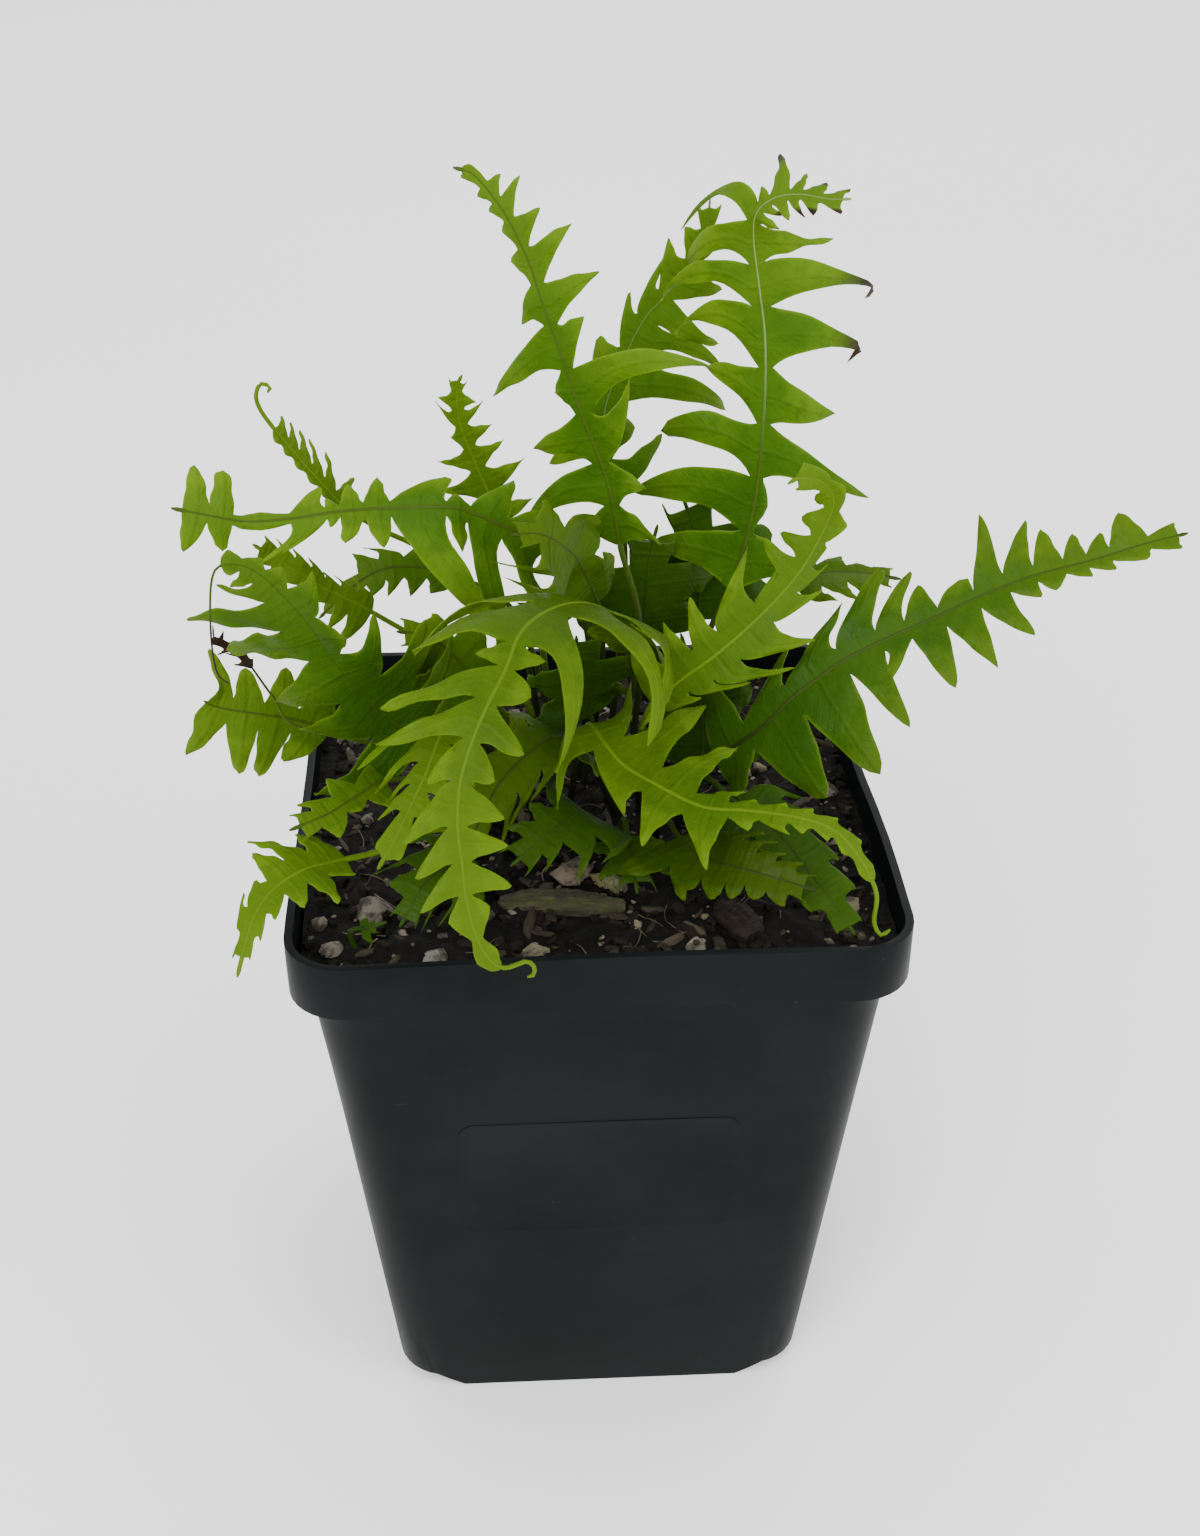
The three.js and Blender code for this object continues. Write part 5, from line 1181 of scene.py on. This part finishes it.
stoneDetail = [
    {"name": "pebble_back", "at": (-4.5, -18.5), "size": (6.5, 5.5, 4.5), "turn": 15, "tint": 0.55},
    {"name": "pebble_yellow", "at": (3, -21.5), "size": (6, 4, 3.5), "turn": -20, "tint": 0.95},
    {"name": "pebble_left", "at": (-37.5, -27.5), "size": (6, 5, 4.5), "turn": 30, "tint": 0.35},
    {"name": "perlite_corner", "at": (-44, -38), "size": (4, 3.5, 3), "turn": 60, "tint": 0.45},
    {"name": "perlite_front_left", "at": (-27, -41.5), "size": (4.5, 3.5, 3), "turn": 80, "tint": 0.2},
    {"name": "perlite_front", "at": (-11, -40.5), "size": (4.5, 3, 2.6), "turn": 10, "tint": 0.75},
    {"name": "perlite_middle", "at": (15.5, -41), "size": (3.6, 3, 2.6), "turn": 45, "tint": 0.3},
    {"name": "perlite_right", "at": (41, -31), "size": (5, 4, 3.2), "turn": -40, "tint": 0.85},
    {"name": "perlite_right_back", "at": (43, 4), "size": (4.5, 4, 3), "turn": 20, "tint": 0.5},
    {"name": "perlite_back", "at": (21, 38), "size": (5, 4, 3.2), "turn": -65, "tint": 0.4},
]

barkDetail = [
    {
        "name": "mossy_strip", "at": (-6, -27.5), "size": (21, 6.5, 2), "turn": -5, "slot": "moss",
        "edge": [0.45, 0.85, 1, 0.9, 1, 0.95, 0.8, 0.5, 0.15],
    },
    {
        "name": "bark_chip", "at": (23, -34), "size": (11, 6.5, 1.8), "turn": -62, "slot": "bark",
        "edge": [0.35, 0.8, 1, 0.9, 0.95, 0.55],
    },
]

gritDetail = [
    {"name": "soil_crumbs", "count": 900, "size": (0.4, 1.2), "long": 1.5, "slot": "soil"},
    {"name": "bark_crumbs", "count": 300, "size": (0.35, 1.1), "long": 3.5, "slot": "bark"},
    {"name": "pale_crumbs", "count": 420, "size": (0.2, 0.6), "long": 1.3, "slot": "perlite"},
    {"name": "pale_stones", "count": 55, "size": (0.7, 1.4), "long": 1.3, "slot": "perlite"},
]
gritMargin = 1.2

rootletDetail = {"count": 110, "thickness": 0.11, "step": 1.5, "margin": 6, "reach": 46}


def groundHeight(x, y):
    long = math.sin(x / 7 + 1) * math.cos(y / 9 - 0.5)
    short = math.sin(x / 3.1 + y / 4.3) * math.cos(y / 3.7 - x / 6)
    return soilDetail["top"] + soilDetail["relief"] * (0.65 * long + 0.35 * short)


def soilHeight(x, y):
    lumps = 0
    for size, rise in soilDetail["lumps"]:
        lumps += rise * noise.noise(Vector((x / size, y / size, size)))
    return groundHeight(x, y) + lumps


def makeSoil():
    d = soilDetail
    cells = d["cells"]
    deselectAll()
    bpy.ops.mesh.primitive_grid_add(x_subdivisions=cells, y_subdivisions=cells, size=2 * d["half"] * mm)
    soil = bpy.context.object
    bm = openMesh(soil)
    middle = d["half"] - d["cornerRadius"]
    for v in bm.verts:
        x, y = v.co.x / mm, v.co.y / mm
        dx, dy = abs(x) - middle, abs(y) - middle
        if dx > 0 and dy > 0:
            spread = max(dx, dy) / math.hypot(dx, dy)
            x = math.copysign(middle + dx * spread, x)
            y = math.copysign(middle + dy * spread, y)
        v.co = Vector((x, y, soilHeight(x, y))) * mm
    bmesh.update_edit_mesh(soil.data)
    # sides down to the floor of the pot, drawn in with its wall
    selectWhere(lambda e: e.is_boundary, "EDGE")
    width = d["half"]
    for level, half in d["levels"]:
        bpy.ops.mesh.extrude_edges_move()
        bm = openMesh(soil)
        for v in bm.verts:
            if v.select:
                v.co.x *= half / width
                v.co.y *= half / width
                v.co.z = level * mm
        bmesh.update_edit_mesh(soil.data)
        width = half
    bpy.ops.mesh.edge_face_add()
    bpy.ops.mesh.select_all(action="SELECT")
    bpy.ops.mesh.normals_make_consistent(inside=False)
    closeMesh(soil)
    smooth(soil, 50)
    return soil


def paintTint(piece, tint):
    for item in piece.data.color_attributes.new("tint", "FLOAT_COLOR", "POINT").data:
        item.color = (*grey(tint), 1)


def roughBall(name, detail, lumpiness, seed):
    # an icosphere of radius 1 with chipped, uneven faces
    deselectAll()
    bpy.ops.mesh.primitive_ico_sphere_add(subdivisions=detail, radius=1)
    ball = bpy.context.object
    ball.name = name
    bm = openMesh(ball)
    shift = Vector((seed * 3.7, seed * 1.3, seed * 7.1))
    for v in bm.verts:
        way = v.co.normalized()
        out = 1
        for scale, share in ((1.3, 1), (3.1, 0.45), (8, 0.2)):
            out += lumpiness * share * noise.noise(way * scale + shift)
        v.co = way * out
        v.co.z = max(v.co.z, -0.8 + 0.1 * noise.noise(way * 2))
    closeMesh(ball)
    return ball


def makeStone(stone, seed):
    ball = roughBall(stone["name"] + "_stone", 5, 0.55, seed)
    # a few flat facets, as broken stone has
    dice = random.Random(seed)
    bm = openMesh(ball)
    for k in range(7):
        way = Vector((dice.uniform(-1, 1), dice.uniform(-1, 1), dice.uniform(-0.3, 1))).normalized()
        depth = dice.uniform(0.62, 0.86)
        for v in bm.verts:
            over = v.co.dot(way) - depth
            if over > 0:
                v.co -= way * over * 0.88
    closeMesh(ball)
    x, y = stone["at"]
    size = stone["size"]
    ball.scale = [s * mm / 2 * 1.12 for s in size]
    ball.rotation_euler = (0, 0, math.radians(stone["turn"]))
    ball.location = (x * mm, y * mm, (groundHeight(x, y) + size[2] * 0.12) * mm)
    placeInMesh(ball)
    paintTint(ball, stone["tint"])
    smooth(ball, 40)
    return ball


def makeBark(bark, seed):
    length, width, thick = bark["size"]
    edge = bark["edge"]
    deselectAll()
    bpy.ops.mesh.primitive_cube_add(size=1)
    strip = bpy.context.object
    bpy.ops.object.mode_set(mode="EDIT")
    bpy.ops.mesh.select_all(action="SELECT")
    bpy.ops.mesh.subdivide(number_cuts=38)
    bm = openMesh(strip)
    shift = Vector((seed * 5.3, seed * 2.1, 0))
    for v in bm.verts:
        u = v.co.x + 0.5
        at = u * (len(edge) - 1)
        k = min(int(at), len(edge) - 2)
        share = edge[k] + (edge[k + 1] - edge[k]) * (at - k)
        side = v.co.y * 2
        ragged = 1 + 0.09 * noise.noise(Vector((u * 9, side * 0.7, seed)))
        x = (u - 0.5) * length * (1 + 0.04 * noise.noise(Vector((side * 3, seed, 1))))
        y = side * width / 2 * share * ragged
        crown = (1 - (2 * u - 1) ** 2) * 0.9 + (1 - side**2) * 0.6
        z = v.co.z * thick * (1 - 0.45 * abs(side) ** 4) + crown - 0.3
        spot = Vector((x, y, z)) + shift
        grain = noise.noise(Vector((spot.x * 0.22, spot.y * 1.3, spot.z))) * 0.35
        grit = noise.noise(spot * 1.6) * 0.22
        v.co = Vector((x, y + grit * 0.5, z + (grain + grit) * (1 if v.co.z > 0 else 0.3))) * mm
    closeMesh(strip)
    x, y = bark["at"]
    strip.rotation_euler = (0, 0, math.radians(bark["turn"]))
    strip.location = (x * mm, y * mm, (groundHeight(x, y) + thick * 0.25) * mm)
    placeInMesh(strip)
    smooth(strip, 60)
    return strip


def scatterGrit(kind, dice):
    # loose crumbs, as one mesh with its own copy of every crumb
    half, radius = soilDetail["half"], soilDetail["cornerRadius"]
    limit, corner = half - gritMargin, half - radius
    balls = [roughBall("crumb", 2, 0.6, 60 + k) for k in range(4)]
    copies = []
    for k in range(kind["count"]):
        source = balls[k % len(balls)]
        copy = source.copy()
        copy.data = source.data.copy()
        bpy.context.collection.objects.link(copy)
        while True:
            x, y = dice.uniform(-limit, limit), dice.uniform(-limit, limit)
            if math.hypot(max(abs(x) - corner, 0), max(abs(y) - corner, 0)) < radius - gritMargin:
                break
        size = dice.uniform(*kind["size"])
        if dice.random() < 0.12:
            size *= 1.4
        long = size * dice.uniform(1, kind["long"])
        copy.scale = (long * mm, size * mm * dice.uniform(0.6, 1), size * mm * dice.uniform(0.45, 0.8))
        copy.rotation_euler = (dice.uniform(-0.5, 0.5), dice.uniform(-0.5, 0.5), dice.uniform(0, 6.28))
        copy.location = (x * mm, y * mm, (soilHeight(x, y) + size * 0.15) * mm)
        paintTint(copy, dice.random())
        copies.append(copy)
    for ball in balls:
        bpy.data.objects.remove(ball, do_unlink=True)
    whole = joinAll(copies)
    placeInMesh(whole)
    smooth(whole, 35)
    return whole


def makeRootlets():
    # thin pale and brown fibres lying in the top of the soil
    d = rootletDetail
    dice = random.Random(17)
    curve = bpy.data.curves.new("rootlets", "CURVE")
    curve.dimensions = "3D"
    curve.bevel_depth = d["thickness"] * mm
    curve.bevel_resolution = 1
    curve.resolution_u = 4
    limit = soilDetail["half"] - d["margin"]
    for k in range(d["count"]):
        x, y = dice.uniform(-limit, limit), dice.uniform(-limit, limit)
        heading = dice.uniform(0, 6.28)
        steps = dice.randint(3, 7)
        spline = curve.splines.new("NURBS")
        spline.points.add(steps)
        spline.order_u = 3
        spline.use_endpoint_u = True
        for i in range(steps + 1):
            lift = 0.25 + 0.5 * math.sin(math.pi * i / steps) * dice.uniform(0, 1.2)
            spline.points[i].co = (x * mm, y * mm, (soilHeight(x, y) + lift) * mm, 1)
            spline.points[i].radius = dice.uniform(0.5, 1.3)
            heading += dice.uniform(-0.6, 0.6)
            x = clamp(x + d["step"] * math.cos(heading), -d["reach"], d["reach"])
            y = clamp(y + d["step"] * math.sin(heading), -d["reach"], d["reach"])
    piece = bpy.data.objects.new("rootlets", curve)
    bpy.context.collection.objects.link(piece)
    activate(piece)
    bpy.ops.object.convert(target="MESH")
    piece = bpy.context.object
    smooth(piece, 60)
    return piece


def soilMaterial(name="damp potting soil", tinted=False):
    book = NodeBook(name)
    place = book.coordinates()
    broad = book.noise(place, 180, 6, 0.7)
    fine = book.noise(place, 1500, 4, 0.7)
    dark, brown, dry = (0.0012, 0.0011, 0.0008), (0.0040, 0.0034, 0.0023), (0.0150, 0.0118, 0.0070)
    base = book.ramp(broad, [(0.34, dark), (0.56, brown), (0.78, dry)])
    pale = book.math("MULTIPLY", book.fade(fine, 0.66, 0.74), 0.35)
    colour = book.mix(pale, base, (0.088, 0.0715, 0.0495))
    if tinted:
        colour = book.mix(book.math("MULTIPLY", book.tint(), 0.6), colour, (0.0150, 0.0100, 0.0060))
    return book.finish({
        "Base Color": colour,
        "Roughness": 0.85,
        "Specular IOR Level": 0.15,
        "Normal": book.bump(fine, 0.5, 0.0003, book.bump(broad, 0.6, 0.0008)),
    })


def barkMaterial(name="brown bark", tinted=False):
    book = NodeBook(name)
    grain = book.noise(book.coordinates((350, 1400, 900), (0, 0, math.radians(62))), 1, 5, 0.65)
    dark, brown, pale = (0.0035, 0.0022, 0.0014), (0.0110, 0.0066, 0.0038), (0.0340, 0.0215, 0.0120)
    base = book.ramp(grain, [(0.3, dark), (0.55, brown), (0.8, pale)])
    if tinted:
        base = book.mix(book.tint(), base, (0.0400, 0.0330, 0.0190))
    return book.finish({
        "Base Color": base,
        "Roughness": 0.75,
        "Specular IOR Level": 0.2,
        "Normal": book.bump(grain, 0.6, 0.0004),
    })


def mossMaterial():
    book = NodeBook("mossy bark")
    place = book.coordinates()
    streak = book.noise(book.coordinates((120, 700, 500)), 1, 5, 0.65)
    tuft = book.noise(place, 900, 5, 0.7)
    deep, green, bright = (0.0070, 0.0075, 0.0018), (0.0260, 0.0290, 0.0055), (0.075, 0.078, 0.0200)
    moss = book.ramp(streak, [(0.3, deep), (0.5, green), (0.72, bright)])
    woody = book.ramp(tuft, [(0.3, (0.0088, 0.006, 0.0033)), (0.7, (0.0385, 0.0303, 0.0138))])
    return book.finish({
        "Base Color": book.mix(book.fade(book.noise(place, 300, 4), 0.45, 0.6), moss, woody),
        "Roughness": 0.9,
        "Normal": book.bump(tuft, 0.7, 0.0006),
    })


def stoneMaterial():
    book = NodeBook("pale stone")
    place = book.coordinates()
    pores = book.noise(place, 1100, 4, 0.7)
    cloud = book.noise(place, 260, 5, 0.6)
    white, tan, yellow = (0.135, 0.132, 0.108), (0.130, 0.100, 0.070), (0.120, 0.118, 0.050)
    kind = book.ramp(book.tint(), [(0.2, white), (0.55, tan), (0.95, yellow)], False)
    dirty = book.mix(book.fade(cloud, 0.42, 0.62), kind, (0.022, 0.018, 0.010))
    return book.finish({
        "Base Color": book.mix(book.fade(pores, 0.30, 0.42, 1, 0), dirty, (0.011, 0.0083, 0.0055)),
        "Roughness": 0.85,
        "Normal": book.bump(pores, 0.6, 0.0003),
    })


def rootMaterial():
    book = NodeBook("dry rootlets")
    hue = book.noise(book.coordinates(), 90, 2)
    dark, brown, pale = (0.0165, 0.0077, 0.0039), (0.0495, 0.0303, 0.0165), (0.165, 0.132, 0.0825)
    base = book.ramp(hue, [(0.35, dark), (0.5, brown), (0.68, pale)])
    return book.finish({"Base Color": base, "Roughness": 0.7})


# Camera: above the front of the pot, looking a little down into it
cameraSpot = Vector((-0.01624, -0.34387, 0.32933))
cameraTarget = Vector((0.0019, 0, 0.11299))
camera = bpy.data.objects.new("camera", bpy.data.cameras.new("camera"))
bpy.context.collection.objects.link(camera)
camera.data.sensor_fit = "AUTO"
camera.data.sensor_width = 36
camera.data.lens = 53.906
camera.location = cameraSpot
camera.rotation_euler = (cameraTarget - cameraSpot).to_track_quat("-Z", "Y").to_euler()
bpy.context.scene.camera = camera

# The pieces
finishPiece(makePot(), "pot_shell", potMaterial(), ["pot"])
print("the pot is made")

finishPiece(makeSoil(), "soil_bed", soilMaterial(), ["soil"])
gritLooks = {
    "soil": soilMaterial("soil crumbs", True),
    "bark": barkMaterial("bark crumbs", True),
    "perlite": stoneMaterial(),
}
gritDice = random.Random(41)
for kind in gritDetail:
    finishPiece(scatterGrit(kind, gritDice), kind["name"], gritLooks[kind["slot"]])
finishPiece(makeRootlets(), "rootlets", rootMaterial())
for i, stone in enumerate(stoneDetail):
    finishPiece(makeStone(stone, i + 1), stone["name"] + "_stone", gritLooks["perlite"], [stone["name"]])
barkLooks = {"moss": mossMaterial(), "bark": barkMaterial()}
for i, bark in enumerate(barkDetail):
    strip = makeBark(bark, i + 3)
    finishPiece(strip, bark["name"] + "_piece", barkLooks[bark["slot"]], [bark["name"]])
print("the soil and what lies in it are made")

leafMaterials = {stage: leafMaterial(stage) for stage in leafLooks}
for i, plan in enumerate(fronds):
    leaf = buildFrond(plan, 100 + i)
    smooth(leaf, 50)
    finishPiece(leaf, plan["name"] + "_leaf", leafMaterials[plan["tone"]], [plan["name"]])
print("the fronds are made")

# Floor and light
floorSize = 8
deselectAll()
bpy.ops.mesh.primitive_plane_add(size=floorSize, location=(0, 0, -0.2 * mm))
floor = bpy.context.object
floor.name = "floor"
placeInMesh(floor)
floorBook = NodeBook("pale floor")
floorTone = floorBook.fade(floorBook.noise(floorBook.coordinates(), 3, 2), 0.3, 0.7, 0.95, 0.97)
floorBook.finish({"Base Color": floorTone, "Roughness": 0.9, "Specular IOR Level": 0.1})
floor.data.materials.append(floorBook.material)


def softLight(name, spot, aim, size, watts):
    light = bpy.data.objects.new(name, bpy.data.lights.new(name, "AREA"))
    bpy.context.collection.objects.link(light)
    light.data.shape = "DISK"
    light.data.size = size
    light.data.energy = watts
    light.location = spot
    light.rotation_euler = (Vector(aim) - Vector(spot)).to_track_quat("-Z", "Y").to_euler()


softLight("key light", (-0.45, -1.1, 1.0), (0, 0, 0.12), 0.9, 20)
softLight("fill light", (0.9, -0.8, 0.6), (0, 0, 0.1), 1.0, 9)
softLight("back light", (0.2, 1.0, 1.0), (0, 0, 0.1), 1.0, 5)
skyStrength = 1.6
world = bpy.data.worlds.new("studio")
world.use_nodes = True
sky = world.node_tree.nodes["Background"]
sky.inputs["Color"].default_value = (1, 1, 1, 1)
sky.inputs["Strength"].default_value = skyStrength
bpy.context.scene.world = world

print("the scene is ready")
